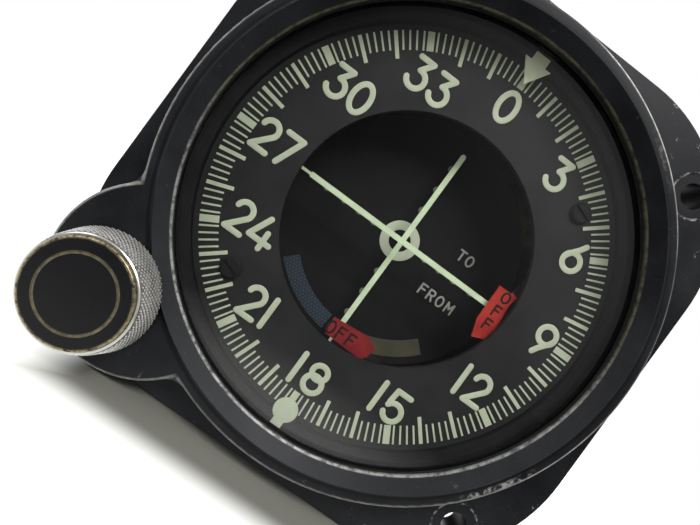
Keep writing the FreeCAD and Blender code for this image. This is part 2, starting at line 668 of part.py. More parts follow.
def make_sleeve():
    """The bearing sleeve that carries the course ring, and the screws that hold it."""
    flange_front = RING_BACK + AXIAL_CLEARANCE
    land_back = flange_front + BEARING_LENGTH
    bearing = DRUM_RADIUS + RUNNING_CLEARANCE
    relief = DRUM_RADIUS + SLEEVE_RELIEF
    sleeve = turned([(bearing, flange_front), (GEAR_CAVITY_RADIUS - FIT_CLEARANCE, flange_front),
                     (GEAR_CAVITY_RADIUS - FIT_CLEARANCE, 0), (NECK_RADIUS, 0), (NECK_RADIUS, NECK_LENGTH),
                     (relief, NECK_LENGTH), (relief, land_back), (bearing, land_back)])
    screws = []
    tools = []
    for angle in SLEEVE_SCREW_ANGLES:
        x, z = polar(SLEEVE_SCREW_PLACE, angle)
        tools.append(cylinder(SLEEVE_SCREW_HEAD + FIT_CLEARANCE, -SLEEVE_SCREW_HEAD_HEIGHT, CUT, x, z)
                     .cut(cylinder(NECK_RADIUS, -2 * CUT, 2 * CUT)))
        head = cylinder(SLEEVE_SCREW_HEAD, -SLEEVE_SCREW_HEAD_HEIGHT, 0, x, z)
        shank = cylinder(SLEEVE_SCREW_SHANK, -SLEEVE_SCREW_LENGTH, -SLEEVE_SCREW_HEAD_HEIGHT, x, z)
        reach = SLEEVE_SCREW_HEAD + CUT
        slot = block((x - reach, x + reach), (-SLEEVE_SCREW_HEAD_HEIGHT / 2, CUT),
                     (z - SLEEVE_SCREW_SLOT / 2, z + SLEEVE_SCREW_SLOT / 2))
        screws.append(fuse_all([head, shank]).cut(slot))
    save("sleeve_screws", screws)
    for angle in PLATE_SCREW_ANGLES:
        x, z = polar(PLATE_SCREW_PLACE, angle)
        tools.append(cylinder(PLATE_SCREW_SHANK, PLATE_BACK - PLATE_SCREW_LENGTH, NECK_LENGTH + CUT, x, z))
    for angle in CASE_SCREW_ANGLES:
        tools.append(case_screw_shank(angle))
    save("course_bearing_sleeve", cut_all(sleeve, tools))


def case_screw_shank(angle):
    """The threaded part of one screw that holds the barrel to the sleeve's neck."""
    x, z = polar(CASE_OUTER - CASE_SCREW_DEPTH, angle)
    outward = Vector(x, 0, z)
    return along(CASE_SCREW_SHANK, CASE_SCREW_DEPTH, Vector(x, CASE_SCREW_SETBACK, z), outward)


def case_screw_head(angle):
    """The countersunk head of one barrel screw, flush with the barrel."""
    x, z = polar(CASE_INNER, angle)
    outward = Vector(x, 0, z)
    return Part.makeCone(CASE_SCREW_SHANK, CASE_SCREW_HEAD, CASE_WALL, Vector(x, CASE_SCREW_SETBACK, z),
                         outward)


def make_case():
    """The barrel, its screws, the rear cover and the cover's screws."""
    barrel = tube(CASE_OUTER, CASE_INNER, 0.0, CASE_LENGTH)
    screws = []
    for angle in CASE_SCREW_ANGLES:
        head = case_screw_head(angle)
        barrel = cut_all(barrel, [head, case_screw_shank(angle)])
        screw = fuse_all([head, case_screw_shank(angle)])
        screws.append(screw.common(cylinder(CASE_OUTER, 0, CASE_LENGTH)))
    save("case_barrel", barrel)
    save("barrel_screws", screws)


def screw_from_behind(seat, head, head_height, shank, length, x, z):
    """A round-headed slotted screw driven along -Y, with its head on the plane y = seat."""
    back = seat + head_height
    body = turned([(0, back), (head * 0.75, back), (head, seat + head_height / 2), (head, seat),
                   (shank, seat), (shank, seat - length), (0, seat - length)], x, z)
    slot = block((x - head, x + head), (back - head_height / 2, back + CUT), (z - head / 8, z + head / 8))
    return body.cut(slot)


def make_rear():
    """The rear cover with its rim and lugs, the connector and all the screws."""
    back = CASE_LENGTH + COVER_THICKNESS
    spigot_front = CASE_LENGTH - COVER_SPIGOT
    spigot_radius = CASE_INNER - FIT_CLEARANCE
    cover = turned([(0, CASE_LENGTH), (spigot_radius - COVER_SPIGOT_WALL, CASE_LENGTH),
                    (spigot_radius - COVER_SPIGOT_WALL, spigot_front), (spigot_radius, spigot_front),
                    (spigot_radius, CASE_LENGTH), (CASE_OUTER, CASE_LENGTH), (CASE_OUTER,
                                                                              back - COVER_EDGE),
                    (CASE_OUTER - COVER_EDGE, back), (0, back)])
    cover = cover.cut(cylinder(CONNECTOR_SHELL_RADIUS + FIT_CLEARANCE, spigot_front, back + CUT))
    half = CONNECTOR_SCREW_SPACING / 2
    corner_places = [(x, z) for x in (-half, half) for z in (-half, half)]
    rear_screws = []
    for x, z in corner_places:
        cover = cover.cut(cylinder(SMALL_SCREW_SHANK, CASE_LENGTH - CUT, back + CUT, x, z))
        rear_screws.append(screw_from_behind(back + CONNECTOR_FLANGE, SMALL_SCREW_HEAD,
                                             SMALL_SCREW_HEAD_HEIGHT,
                                             SMALL_SCREW_SHANK, SMALL_SCREW_LENGTH, x, z))
    side = CONNECTOR_SIDE / 2
    flange = block((-side, side), (back, back + CONNECTOR_FLANGE), (-side, side))
    shell = cylinder(CONNECTOR_SHELL_RADIUS, spigot_front, back + CONNECTOR_FLANGE + CONNECTOR_LENGTH)
    shell = fuse_all([flange, shell])
    inner = CONNECTOR_SHELL_RADIUS - CONNECTOR_SHELL_WALL
    shell = shell.cut(cylinder(inner, spigot_front - CUT, back + CONNECTOR_FLANGE + CONNECTOR_LENGTH + CUT))
    for x, z in corner_places:
        shell = shell.cut(cylinder(SMALL_SCREW_SHANK + FIT_CLEARANCE, back - CUT,
                                   back + CONNECTOR_FLANGE + CUT, x, z))
    save("connector_shell", shell)
    insert_back = back + CONNECTOR_FLANGE
    insert = cylinder(inner - FIT_CLEARANCE, insert_back - CONNECTOR_INSERT_THICKNESS, insert_back)
    pins = []
    for radius, count in zip(CONNECTOR_PIN_RING_RADII, CONNECTOR_PIN_COUNTS):
        for number in range(count):
            x, z = polar(radius, 90 + 360 * number / count)
            front = insert_back - CONNECTOR_INSERT_THICKNESS - CONNECTOR_PIN_TAIL
            insert = insert.cut(cylinder(CONNECTOR_PIN_RADIUS, front, insert_back + CUT, x, z))
            pins.append(cylinder(CONNECTOR_PIN_RADIUS, front, insert_back + CONNECTOR_PIN_REACH, x, z))
    save("connector_insert", insert)
    save("connector_pins", pins)
    rods = []
    for angle in COVER_SCREW_ANGLES:
        x, z = polar(COVER_SCREW_PLACE, angle)
        cover = cover.cut(cylinder(SMALL_SCREW_SHANK, CASE_LENGTH - CUT, back + CUT, x, z))
        rear_screws.append(screw_from_behind(back, SMALL_SCREW_HEAD, SMALL_SCREW_HEAD_HEIGHT,
                                             SMALL_SCREW_SHANK, SMALL_SCREW_LENGTH, x, z))
        rod = cylinder(ROD_RADIUS, REAR_PLATE_BACK, CASE_LENGTH, x, z)
        rods.append(rod.cut(cylinder(SMALL_SCREW_SHANK, back - SMALL_SCREW_LENGTH, CASE_LENGTH + CUT, x,
                                     z)))
    save("rear_cover", cover)
    save("rear_screws", rear_screws)
    save("cover_rods", rods)


def make_plates():
    """The front plate, the rear plate, the pillars between them and their screws."""
    front_plate = cylinder(PLATE_RADIUS, PLATE_FRONT, PLATE_BACK)
    lane = METER_CENTRE + COIL_HEIGHT / 2 + HUB_PLACE + HUB_THICKNESS / 2
    slot = block((-ARM_SWEEP_AT_PLATE, ARM_SWEEP_AT_PLATE), (PLATE_FRONT - CUT, PLATE_BACK + CUT),
                 (-lane - ARM_THICKNESS - ARM_SLOT_CLEARANCE, -lane + ARM_THICKNESS + ARM_SLOT_CLEARANCE))
    side_slot = slot.copy()
    side_slot.rotate(Vector(0, 0, 0), FORWARD_AXIS, 90)
    tools = [slot, side_slot]
    tools.append(cylinder(IDLER_SHAFT_RADIUS + RUNNING_CLEARANCE, PLATE_FRONT - CUT, PLATE_BACK + CUT,
                          IDLER_X, IDLER_Z))
    for x, z in (NAV_FLAG_PIVOT, GS_FLAG_PIVOT, VANE_PIVOT):
        tools.append(cylinder(SMALL_METER_NECK + FIT_CLEARANCE, PLATE_FRONT - CUT, PLATE_BACK + CUT, x, z))
    screws = []
    for angle in PLATE_SCREW_ANGLES:
        x, z = polar(PLATE_SCREW_PLACE, angle)
        tools.append(cylinder(PLATE_SCREW_SHANK + FIT_CLEARANCE, PLATE_FRONT - CUT, PLATE_BACK + CUT, x, z))
        screws.append(screw_from_behind(PLATE_BACK, PLATE_SCREW_HEAD * 0.9, PLATE_SCREW_HEAD_HEIGHT,
                                        PLATE_SCREW_SHANK, PLATE_SCREW_LENGTH, x, z))
    rear_plate = cylinder(PLATE_RADIUS - REAR_PLATE_GAP, REAR_PLATE_FRONT, REAR_PLATE_BACK)
    rear_tools = [cylinder(RESOLVER_PILOT_RADIUS + FIT_CLEARANCE, REAR_PLATE_FRONT - CUT,
                           REAR_PLATE_BACK + CUT),
                  cylinder(IDLER_SHAFT_RADIUS + RUNNING_CLEARANCE, REAR_PLATE_FRONT - CUT,
                           REAR_PLATE_BACK + CUT,
                           IDLER_X, IDLER_Z)]
    pillars = []
    for x, z in PILLAR_PLACES:
        tools.append(cylinder(PILLAR_END_RADIUS, PLATE_FRONT - CUT, PLATE_BACK + CUT, x, z))
        rear_tools.append(cylinder(PILLAR_END_RADIUS, REAR_PLATE_FRONT - CUT, REAR_PLATE_BACK + CUT, x, z))
        body = cylinder(PILLAR_RADIUS, PLATE_BACK, REAR_PLATE_FRONT, x, z)
        spigot = cylinder(PILLAR_END_RADIUS, PLATE_FRONT, REAR_PLATE_BACK, x, z)
        pillars.append(fuse_all([body, spigot]))
    save("front_plate", cut_all(front_plate, tools))
    save("plate_screws", screws)
    save("rear_plate", cut_all(rear_plate, rear_tools))
    save("pillars", pillars)


def meter_frame():
    """The fixed pieces of one deviation meter, pivot along Z, standing below the dial's centre."""
    centre = -METER_CENTRE
    bottom = centre - YOKE_HEIGHT / 2
    up = Vector(0, 0, 1)
    seat = Vector(0, METER_PIVOT, bottom)
    yoke = along(YOKE_OUTER, YOKE_HEIGHT, seat, up).cut(along(YOKE_INNER, YOKE_HEIGHT, seat, up))
    core = along(CORE_RADIUS, CORE_HEIGHT, Vector(0, METER_PIVOT, centre - CORE_HEIGHT / 2), up)
    pin = along(CORE_PIN_RADIUS, 2 * YOKE_OUTER, Vector(-YOKE_OUTER, METER_PIVOT, centre), Vector(1, 0, 0))
    core = fuse_all([core, pin])
    core = core.common(along(YOKE_OUTER - CORE_PIN_SETBACK, YOKE_HEIGHT, seat, up))
    yoke = yoke.cut(pin.common(along(YOKE_OUTER - CORE_PIN_SETBACK, YOKE_HEIGHT, seat, up)))
    bridges = []
    jewels = []
    post_place = (YOKE_OUTER + YOKE_INNER) / 2
    stand = COIL_HEIGHT / 2 + BRIDGE_GAP
    half = BRIDGE_WIDTH / 2
    for sign, turn in ((-1, 0), (1, 90)):
        inner = centre + sign * stand
        outer = inner + sign * BRIDGE_THICKNESS
        low, high = sorted((inner, outer))
        reach = YOKE_OUTER - BRIDGE_SETBACK
        bar = block((-reach, reach), (-half, half), (low, high))
        parts = [bar]
        yoke_end = centre + sign * YOKE_HEIGHT / 2
        post_low, post_high = sorted((yoke_end, inner))
        for x in (-post_place, post_place):
            parts.append(along(BRIDGE_POST_RADIUS, post_high - post_low, Vector(x, 0, post_low), up))
        bridge = fuse_all(parts)
        bridge.rotate(Vector(0, 0, 0), up, turn)
        bridge.translate(Vector(0, METER_PIVOT, 0))
        tip = inner - sign * JEWEL_STAND
        jewel_low, jewel_high = sorted((tip, tip + sign * JEWEL_LENGTH))
        jewel = along(JEWEL_RADIUS, jewel_high - jewel_low, Vector(0, METER_PIVOT, jewel_low), up)
        bridges.append(bridge.cut(jewel))
        cup = along(STAFF_RADIUS + RUNNING_CLEARANCE, JEWEL_CUP_DEPTH, Vector(0, METER_PIVOT, tip),
                    Vector(0, 0, sign))
        jewels.append(jewel.cut(cup))
    top = centre - stand - BRIDGE_THICKNESS
    pillar_x, pillar_z = PILLAR_PLACES[1]
    width = BRACKET_WIDTH / 2
    reach = pillar_x + BRACKET_END
    bracket = block((-reach, reach), (METER_PIVOT - width, METER_PIVOT + width),
                    (top - BRACKET_THICKNESS, top))
    for x in (-pillar_x, pillar_x):
        ear = cylinder(BRACKET_END, METER_PIVOT - width, METER_PIVOT + width, x, pillar_z)
        bracket = bracket.fuse(ear)
    for x in (-pillar_x, pillar_x):
        hole = cylinder(PILLAR_RADIUS + FIT_CLEARANCE, METER_PIVOT - width - CUT, METER_PIVOT + width + CUT,
                        x, pillar_z)
        bracket = bracket.cut(hole)
    for jewel in jewels:
        bracket = bracket.cut(jewel)
    bracket = bracket.common(cylinder(CASE_INNER - BRACKET_CASE_GAP, 0, CASE_LENGTH)).removeSplitter()
    return {"meter_yokes": [yoke], "meter_cores": [core], "meter_bridges": bridges,
            "meter_jewel_screws": jewels, "meter_brackets": [bracket]}


def meter_coil():
    """The coil with its former and the two pivot staffs, turning about Z."""
    centre = -METER_CENTRE
    half = COIL_HEIGHT / 2
    width = COIL_WIDTH / 2
    y_span = (METER_PIVOT - COIL_OUTER, METER_PIVOT + COIL_OUTER)
    frame = block((-width, width), y_span, (centre - half, centre + half))
    wire = COIL_OUTER - COIL_INNER
    inner_span = (METER_PIVOT - COIL_INNER, METER_PIVOT + COIL_INNER)
    frame = frame.cut(block((-width - CUT, width + CUT), inner_span,
                            (centre - half + wire, centre + half - wire)))
    staff_up = along(STAFF_RADIUS, STAFF_LENGTH, Vector(0, METER_PIVOT, centre + half - STAFF_SEAT),
                     Vector(0, 0, 1))
    staff_down = along(STAFF_RADIUS, STAFF_LENGTH, Vector(0, METER_PIVOT, centre - half + STAFF_SEAT),
                       Vector(0, 0, -1))
    return fuse_all([frame, staff_up, staff_down])


def meter_pointer(needle_y):
    """The needle, its arm to the pivot, the hub and the balance tail, for a pivot along Z."""
    coil_end = -METER_CENTRE - COIL_HEIGHT / 2
    hub_top = coil_end - HUB_PLACE
    hub_bottom = hub_top - HUB_THICKNESS
    half = NEEDLE_WIDTH / 2
    needle = block((-half, half), (needle_y, needle_y + NEEDLE_THICKNESS),
                   (-NEEDLE_PAINT_END, NEEDLE_TIP - half))
    tip = cylinder(half, needle_y, needle_y + NEEDLE_THICKNESS, 0, NEEDLE_TIP - half)
    neck_half = NECK_WIDTH / 2
    neck = block((-neck_half, neck_half), (needle_y, needle_y + NEEDLE_THICKNESS),
                 (hub_bottom, -NEEDLE_PAINT_END))
    arm_half = ARM_WIDTH / 2
    arm = block((-arm_half, arm_half), (needle_y, METER_PIVOT + TAIL_LENGTH), (hub_bottom, hub_top))
    up = Vector(0, 0, 1)
    hub = along(HUB_RADIUS, HUB_THICKNESS, Vector(0, METER_PIVOT, hub_bottom), up)
    weight = along(TAIL_WEIGHT_RADIUS, HUB_THICKNESS, Vector(0, METER_PIVOT + TAIL_LENGTH, hub_bottom), up)
    bore = along(STAFF_RADIUS, HUB_THICKNESS, Vector(0, METER_PIVOT, hub_bottom), up)
    return fuse_all([needle, tip, neck, arm, hub, weight]).cut(bore)


def quarter_turned(shape):
    """A piece of the course meter turned onto the glide slope meter's side."""
    copy = shape.copy()
    copy.rotate(Vector(0, 0, 0), FORWARD_AXIS, 90)
    return copy


def make_meters():
    """Both deviation meters; the second is the first turned a quarter about the dial's axis."""
    for node, pieces in meter_frame().items():
        save(node, pieces + [quarter_turned(piece) for piece in pieces])
    save("cdi_coil", meter_coil())
    save("gs_coil", quarter_turned(meter_coil()))
    save("cdi_needle", meter_pointer(DIAL_FRONT + CDI_NEEDLE_SETBACK))
    pointer = meter_pointer(DIAL_FRONT + GS_NEEDLE_SETBACK)
    pointer.rotate(Vector(0, METER_PIVOT, 0), Vector(0, 0, 1), GS_NEEDLE_REST_ANGLE)
    save("gs_needle", quarter_turned(pointer))


def flag_plate(outline, pivot):
    """A flag with the arm and hub that carry it."""
    front = DIAL_FRONT + FLAG_SETBACK
    back = front + FLAG_THICKNESS
    plate = prism(outline, front, back)
    centre_x = sum(x for x, z in outline) / len(outline)
    centre_z = sum(z for x, z in outline) / len(outline)
    length = math.hypot(centre_x - pivot[0], centre_z - pivot[1])
    arm = block((0, length), (front, back), (-FLAG_ARM_WIDTH / 2, FLAG_ARM_WIDTH / 2))
    turn = math.degrees(math.atan2(centre_z - pivot[1], centre_x - pivot[0]))
    arm.rotate(Vector(0, 0, 0), FORWARD_AXIS, -turn)
    arm.translate(Vector(pivot[0], 0, pivot[1]))
    hub = cylinder(FLAG_HUB_RADIUS, front, back + HUB_STAND, pivot[0], pivot[1])
    bore = cylinder(FLAG_SHAFT_RADIUS, front - CUT, back + 2 * CUT, pivot[0], pivot[1])
    return fuse_all([plate, arm, hub]).cut(bore)


def make_flags():
    """The two flags, the TO-FROM vane, their shafts and the three small meters that turn them."""
    front = DIAL_FRONT + FLAG_SETBACK
    shaft_back = PLATE_BACK + SMALL_METER_CUP - AXIAL_CLEARANCE
    save("nav_flag", flag_plate(NAV_FLAG_OUTLINE, NAV_FLAG_PIVOT))
    save("gs_flag", flag_plate(GS_FLAG_OUTLINE, GS_FLAG_PIVOT))
    save("nav_flag_shaft", cylinder(FLAG_SHAFT_RADIUS, front, shaft_back, *NAV_FLAG_PIVOT))
    save("gs_flag_shaft", cylinder(FLAG_SHAFT_RADIUS, front, shaft_back, *GS_FLAG_PIVOT))
    vane_front = FACE_BACK + VANE_SETBACK
    vane_back = vane_front + FLAG_THICKNESS
    x, z = VANE_PIVOT
    arc = [polar(VANE_OUTER, angle) for angle in (-VANE_HALF_ANGLE, 0, VANE_HALF_ANGLE)]
    arc += [polar(VANE_INNER, angle) for angle in (VANE_HALF_ANGLE, 0, -VANE_HALF_ANGLE)]
    blade = prism([(x + px, z + pz) for px, pz in arc], vane_front, vane_back)
    arm = block((x, x + VANE_INNER + VANE_ARM_LAP), (vane_front, vane_back),
                (z - VANE_ARM_HALF, z + VANE_ARM_HALF))
    hub = cylinder(FLAG_HUB_RADIUS, vane_front, vane_back + HUB_STAND, x, z)
    vane = fuse_all([blade, arm, hub]).cut(cylinder(FLAG_SHAFT_RADIUS, vane_front - CUT,
                                                    vane_back + 2 * CUT, x, z))
    save("to_from_vane", vane)
    save("to_from_shaft", cylinder(FLAG_SHAFT_RADIUS, vane_front, shaft_back, x, z))
    meters = []
    nuts = []
    for px, pz in (NAV_FLAG_PIVOT, GS_FLAG_PIVOT, VANE_PIVOT):
        can = cylinder(SMALL_METER_RADIUS, PLATE_BACK, PLATE_BACK + SMALL_METER_LENGTH, px, pz)
        neck_front = PLATE_FRONT - NUT_THICKNESS - SMALL_METER_NECK_STAND
        neck = cylinder(SMALL_METER_NECK, neck_front, PLATE_BACK + CUT, px, pz)
        cup = cylinder(FLAG_SHAFT_RADIUS + RUNNING_CLEARANCE, neck_front - CUT,
                       PLATE_BACK + SMALL_METER_CUP, px, pz)
        meters.append(fuse_all([can, neck]).cut(cup))
        corners = [polar(NUT_ACROSS, 60 * corner) for corner in range(6)]
        nut = prism([(px + x1, pz + z1) for x1, z1 in corners], PLATE_FRONT - NUT_THICKNESS, PLATE_FRONT)
        nuts.append(nut.cut(cylinder(SMALL_METER_NECK, neck_front, PLATE_BACK, px, pz)))
    save("flag_meters", meters)
    save("meter_nuts", nuts)


def make_gear_train():
    """The idler that takes the ring's turn back to the resolver."""
    idler_back = DRUM_BACK - AXIAL_CLEARANCE
    idler_front = idler_back - IDLER_THICKNESS
    idler = gear(GEAR_MODULE, IDLER_TEETH, idler_front, idler_back, IDLER_ANGLE, IDLER_X, IDLER_Z)
    hub = cylinder(IDLER_HUB_RADIUS, idler_back, PLATE_FRONT - AXIAL_CLEARANCE, IDLER_X, IDLER_Z)
    idler = fuse_all([idler, hub]).cut(cylinder(IDLER_SHAFT_RADIUS, idler_front - CUT, PLATE_BACK, IDLER_X,
                                                IDLER_Z))
    save("idler_gear", idler)
    gear_back = REAR_PLATE_FRONT - RESOLVER_GEAR_SETBACK
    pinion_back = gear_back + STAGE_PINION_OVERLAP
    pinion = gear(FINE_MODULE, STAGE_PINION_TEETH, pinion_back - STAGE_PINION_LENGTH, pinion_back,
                  IDLER_ANGLE + 180, IDLER_X, IDLER_Z)
    shaft = cylinder(IDLER_SHAFT_RADIUS, idler_front - IDLER_SHAFT_STAND, REAR_PLATE_BACK, IDLER_X, IDLER_Z)
    save("idler_shaft", fuse_all([shaft, pinion]))
    gear_front = gear_back - RESOLVER_GEAR_THICKNESS
    wheel = gear(FINE_MODULE, RESOLVER_TEETH, gear_front, gear_back, IDLER_ANGLE + 180.0 / RESOLVER_TEETH)
    wheel = cut_all(wheel, [cylinder(RESOLVER_SHAFT_RADIUS, gear_front - CUT, gear_back + CUT)])
    for angle in RESOLVER_GEAR_HOLE_ANGLES:
        x, z = polar(RESOLVER_GEAR_HOLE_PLACE, angle)
        wheel = wheel.cut(cylinder(RESOLVER_GEAR_HOLE, gear_front - CUT, gear_back + CUT, x, z))
    save("resolver_gear", wheel)
    shaft_back = REAR_PLATE_BACK + RESOLVER_SHAFT_SOCKET - AXIAL_CLEARANCE
    save("resolver_shaft", cylinder(RESOLVER_SHAFT_RADIUS, gear_front - RESOLVER_SHAFT_STAND, shaft_back))


def make_resolver():
    """The resolver's body with its pilot and clamp groove, and its three clamps."""
    front = REAR_PLATE_BACK
    back = front + RESOLVER_LENGTH
    groove = RESOLVER_FLANGE_GROOVE
    body = turned([(0, front - PLATE_THICKNESS), (RESOLVER_PILOT_RADIUS, front - PLATE_THICKNESS),
                   (RESOLVER_PILOT_RADIUS, front), (RESOLVER_RADIUS, front), (RESOLVER_RADIUS,
                                                                              front + groove),
                   (RESOLVER_RADIUS - groove, front + groove), (RESOLVER_RADIUS - groove,
                                                                front + 2 * groove),
                   (RESOLVER_RADIUS, front + 2 * groove), (RESOLVER_RADIUS,
                                                           back - RESOLVER_EDGE),
                                                           (RESOLVER_RADIUS - RESOLVER_EDGE, back),
                   (0, back)])
    socket = cylinder(RESOLVER_SHAFT_RADIUS + RUNNING_CLEARANCE, front - 2 * PLATE_THICKNESS,
                      front + RESOLVER_SHAFT_SOCKET)
    save("resolver_body", body.cut(socket))
    clamps = []
    for angle in CLAMP_ANGLES:
        x, z = polar(RESOLVER_RADIUS + CLAMP_RADIUS - CLAMP_LAP, angle)
        foot = cylinder(CLAMP_RADIUS, front, front + groove, x, z)
        tongue = cylinder(CLAMP_RADIUS, front + groove, front + groove + CLAMP_THICKNESS, x, z)
        foot = foot.cut(cylinder(RESOLVER_RADIUS + FIT_CLEARANCE, front - CUT, front + groove))
        tongue = tongue.cut(cylinder(RESOLVER_RADIUS - groove + FIT_CLEARANCE, front, front + 2 * groove))
        clamps.append(fuse_all([foot, tongue]))
    save("resolver_clamps", clamps)


def make_knob():
    """The knob, its cap and set screws, the shaft with its pinion, bushing and clip."""
    back = KNOB_BACK
    front = KNOB_FRONT
    boss_back = LEDGE_Y - BUSHING_FLANGE_THICKNESS - AXIAL_CLEARANCE
    inner = KNOB_BASE_RADIUS - KNOB_SKIRT_WALL
    cap_seat = front + KNOB_CAP_RECESS
    seat_radius = KNOB_CAP_RADIUS + FIT_CLEARANCE
    edge = KNOB_FRONT_RADIUS - seat_radius - FIT_CLEARANCE
    skirt = turned([(0, cap_seat), (seat_radius, cap_seat), (seat_radius, front),
                    (KNOB_FRONT_RADIUS - edge, front), (KNOB_FRONT_RADIUS, front + KNOB_EDGE),
                    (KNOB_BASE_RADIUS, back - KNOB_BASE_EDGE_HEIGHT), (KNOB_BASE_RADIUS - KNOB_BASE_EDGE,
                                                                       back),
                    (inner, back),
                    (inner, back - KNOB_HOLLOW_DEPTH), (KNOB_BOSS_RADIUS, back - KNOB_HOLLOW_DEPTH),
                    (KNOB_BOSS_RADIUS, boss_back), (0, boss_back)], KNOB_X, KNOB_Z)
    shaft_front = cap_seat + CAP_FLOOR
    skirt = skirt.cut(cylinder(SHAFT_RADIUS, shaft_front, boss_back + CUT, KNOB_X, KNOB_Z))
    screws = []
    screw_y = (cap_seat + back - KNOB_HOLLOW_DEPTH) / 2
    for angle in (KNOB_ANGLE, KNOB_ANGLE + 90):
        out_x, out_z = polar(1.0, angle)
        outward = Vector(out_x, 0, out_z)
        start_x, start_z = polar(SHAFT_RADIUS, angle)
        start = Vector(KNOB_X + start_x, screw_y, KNOB_Z + start_z)
        hole = along(SET_SCREW_RADIUS, KNOB_BASE_RADIUS, start, outward)
        skirt = skirt.cut(hole)
        screw = along(SET_SCREW_RADIUS, SET_SCREW_LENGTH, start, outward)
        screws.append(screw.cut(cylinder(SHAFT_RADIUS, front, back, KNOB_X, KNOB_Z)))
    save("knob_skirt", skirt)
    save("knob_set_screws", screws)
    cap_front = cap_seat - KNOB_CAP_THICKNESS
    cap = cylinder(KNOB_CAP_RADIUS, cap_front, cap_seat, KNOB_X, KNOB_Z)
    rim = [edge for edge in cap.Edges if abs(edge.BoundBox.YMax - cap_front) < 0.01]
    cap = cap.makeFillet(KNOB_CAP_EDGE_ROUND, rim)
    groove = tube(CAP_GROOVE_OUTER, CAP_GROOVE_INNER, cap_front - CUT, cap_front + CAP_GROOVE_DEPTH,
                  KNOB_X, KNOB_Z)
    save("knob_cap", cap.cut(groove))
    shaft_back = -GEAR_COVER_THICKNESS - AXIAL_CLEARANCE
    clip_front = RING_BACK + AXIAL_CLEARANCE
    clip_back = clip_front + SHAFT_CLIP_WIDTH
    shaft = cylinder(SHAFT_RADIUS, shaft_front, shaft_back, KNOB_X, KNOB_Z)
    clip = tube(SHAFT_RADIUS + SHAFT_CLIP_STAND, SHAFT_RADIUS - SHAFT_CLIP_DEPTH, clip_front, clip_back,
                KNOB_X, KNOB_Z)
    save("knob_shaft", shaft.cut(clip))
    mouth = block((KNOB_X - SHAFT_CLIP_MOUTH / 2, KNOB_X + SHAFT_CLIP_MOUTH / 2),
                  (clip_front - CUT, clip_back + CUT),
                  (KNOB_Z - 2 * (SHAFT_RADIUS + SHAFT_CLIP_STAND), KNOB_Z))
    save("shaft_clip", clip.cut(mouth))
    pinion = gear(GEAR_MODULE, PINION_TEETH, RING_FRONT, RING_BACK, KNOB_ANGLE + 180 + 180.0 / PINION_TEETH,
                  KNOB_X, KNOB_Z)
    save("knob_pinion",
         pinion.cut(cylinder(SHAFT_RADIUS, RING_FRONT - CUT, RING_BACK + CUT, KNOB_X, KNOB_Z)))
    bore = SHAFT_RADIUS + RUNNING_CLEARANCE
    outer = SHAFT_RADIUS + FIT_CLEARANCE + BUSHING_WALL
    bushing_back = RING_FRONT - AXIAL_CLEARANCE
    bushing_front = LEDGE_Y - BUSHING_FLANGE_THICKNESS
    bushing = turned([(bore, bushing_front), (outer + BUSHING_FLANGE, bushing_front),
                      (outer + BUSHING_FLANGE, LEDGE_Y),
                      (outer, LEDGE_Y), (outer, bushing_back), (bore, bushing_back)], KNOB_X, KNOB_Z)
    save("knob_bushing", bushing)
    cover = gear_cover_plate(-GEAR_COVER_THICKNESS, 0.0, 0.0)
    cover = cover.cut(cylinder(GEAR_CAVITY_RADIUS, -GEAR_COVER_THICKNESS - CUT, CUT))
    cover_screws = []
    for x, z in gear_cover_screw_places():
        screw = countersunk_screw(GEAR_COVER_SCREW_HEAD, GEAR_COVER_SCREW_SHANK,
                                  GEAR_COVER_SCREW_HEAD_HEIGHT,
                                  GEAR_COVER_SCREW_LENGTH, x, z)
        seat = turned([(0, CUT), (GEAR_COVER_SCREW_HEAD, CUT), (GEAR_COVER_SCREW_HEAD, 0),
                       (GEAR_COVER_SCREW_SHANK, -GEAR_COVER_SCREW_HEAD_HEIGHT),
                       (GEAR_COVER_SCREW_SHANK, -2 * GEAR_COVER_THICKNESS), (0,
                                                                             -2 * GEAR_COVER_THICKNESS)], x,
                                                                             z)
        cover = cover.cut(seat)
        cover_screws.append(screw)
    save("gear_cover", cover)
    save("gear_cover_screws", cover_screws)


def main():
    os.makedirs("parts", exist_ok=True)
    save("bezel_housing", make_bezel_housing())
    make_glass_pieces()
    make_dial_pieces()
    make_face_pieces()
    make_course_ring()
    make_sleeve()
    make_case()
    make_rear()
    make_plates()
    make_meters()
    make_flags()
    make_gear_train()
    make_resolver()
    make_knob()


main()
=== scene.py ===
"""Looks of the course deviation indicator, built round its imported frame.

The frame is in metres: +Z up, +X right, the dial faces -Y. Sizes below are in millimetres, unless a
comment says otherwise, and are turned into metres where they are used. Colours are linear.
"""
import math

import bmesh
import bpy
from mathutils import Matrix, Vector


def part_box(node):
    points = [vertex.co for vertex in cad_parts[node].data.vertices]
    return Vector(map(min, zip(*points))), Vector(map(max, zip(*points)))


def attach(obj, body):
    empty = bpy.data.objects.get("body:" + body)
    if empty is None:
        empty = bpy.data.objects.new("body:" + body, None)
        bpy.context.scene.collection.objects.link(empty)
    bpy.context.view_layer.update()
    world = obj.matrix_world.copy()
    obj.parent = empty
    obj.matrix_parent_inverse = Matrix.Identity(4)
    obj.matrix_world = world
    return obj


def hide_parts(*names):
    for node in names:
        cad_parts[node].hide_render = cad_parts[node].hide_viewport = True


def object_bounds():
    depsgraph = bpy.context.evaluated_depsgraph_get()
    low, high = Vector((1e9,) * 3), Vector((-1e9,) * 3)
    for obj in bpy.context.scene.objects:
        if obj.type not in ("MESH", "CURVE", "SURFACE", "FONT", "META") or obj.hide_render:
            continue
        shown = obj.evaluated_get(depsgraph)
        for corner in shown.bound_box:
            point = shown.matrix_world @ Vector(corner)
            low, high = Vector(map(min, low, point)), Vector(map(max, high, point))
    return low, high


MM = 0.001

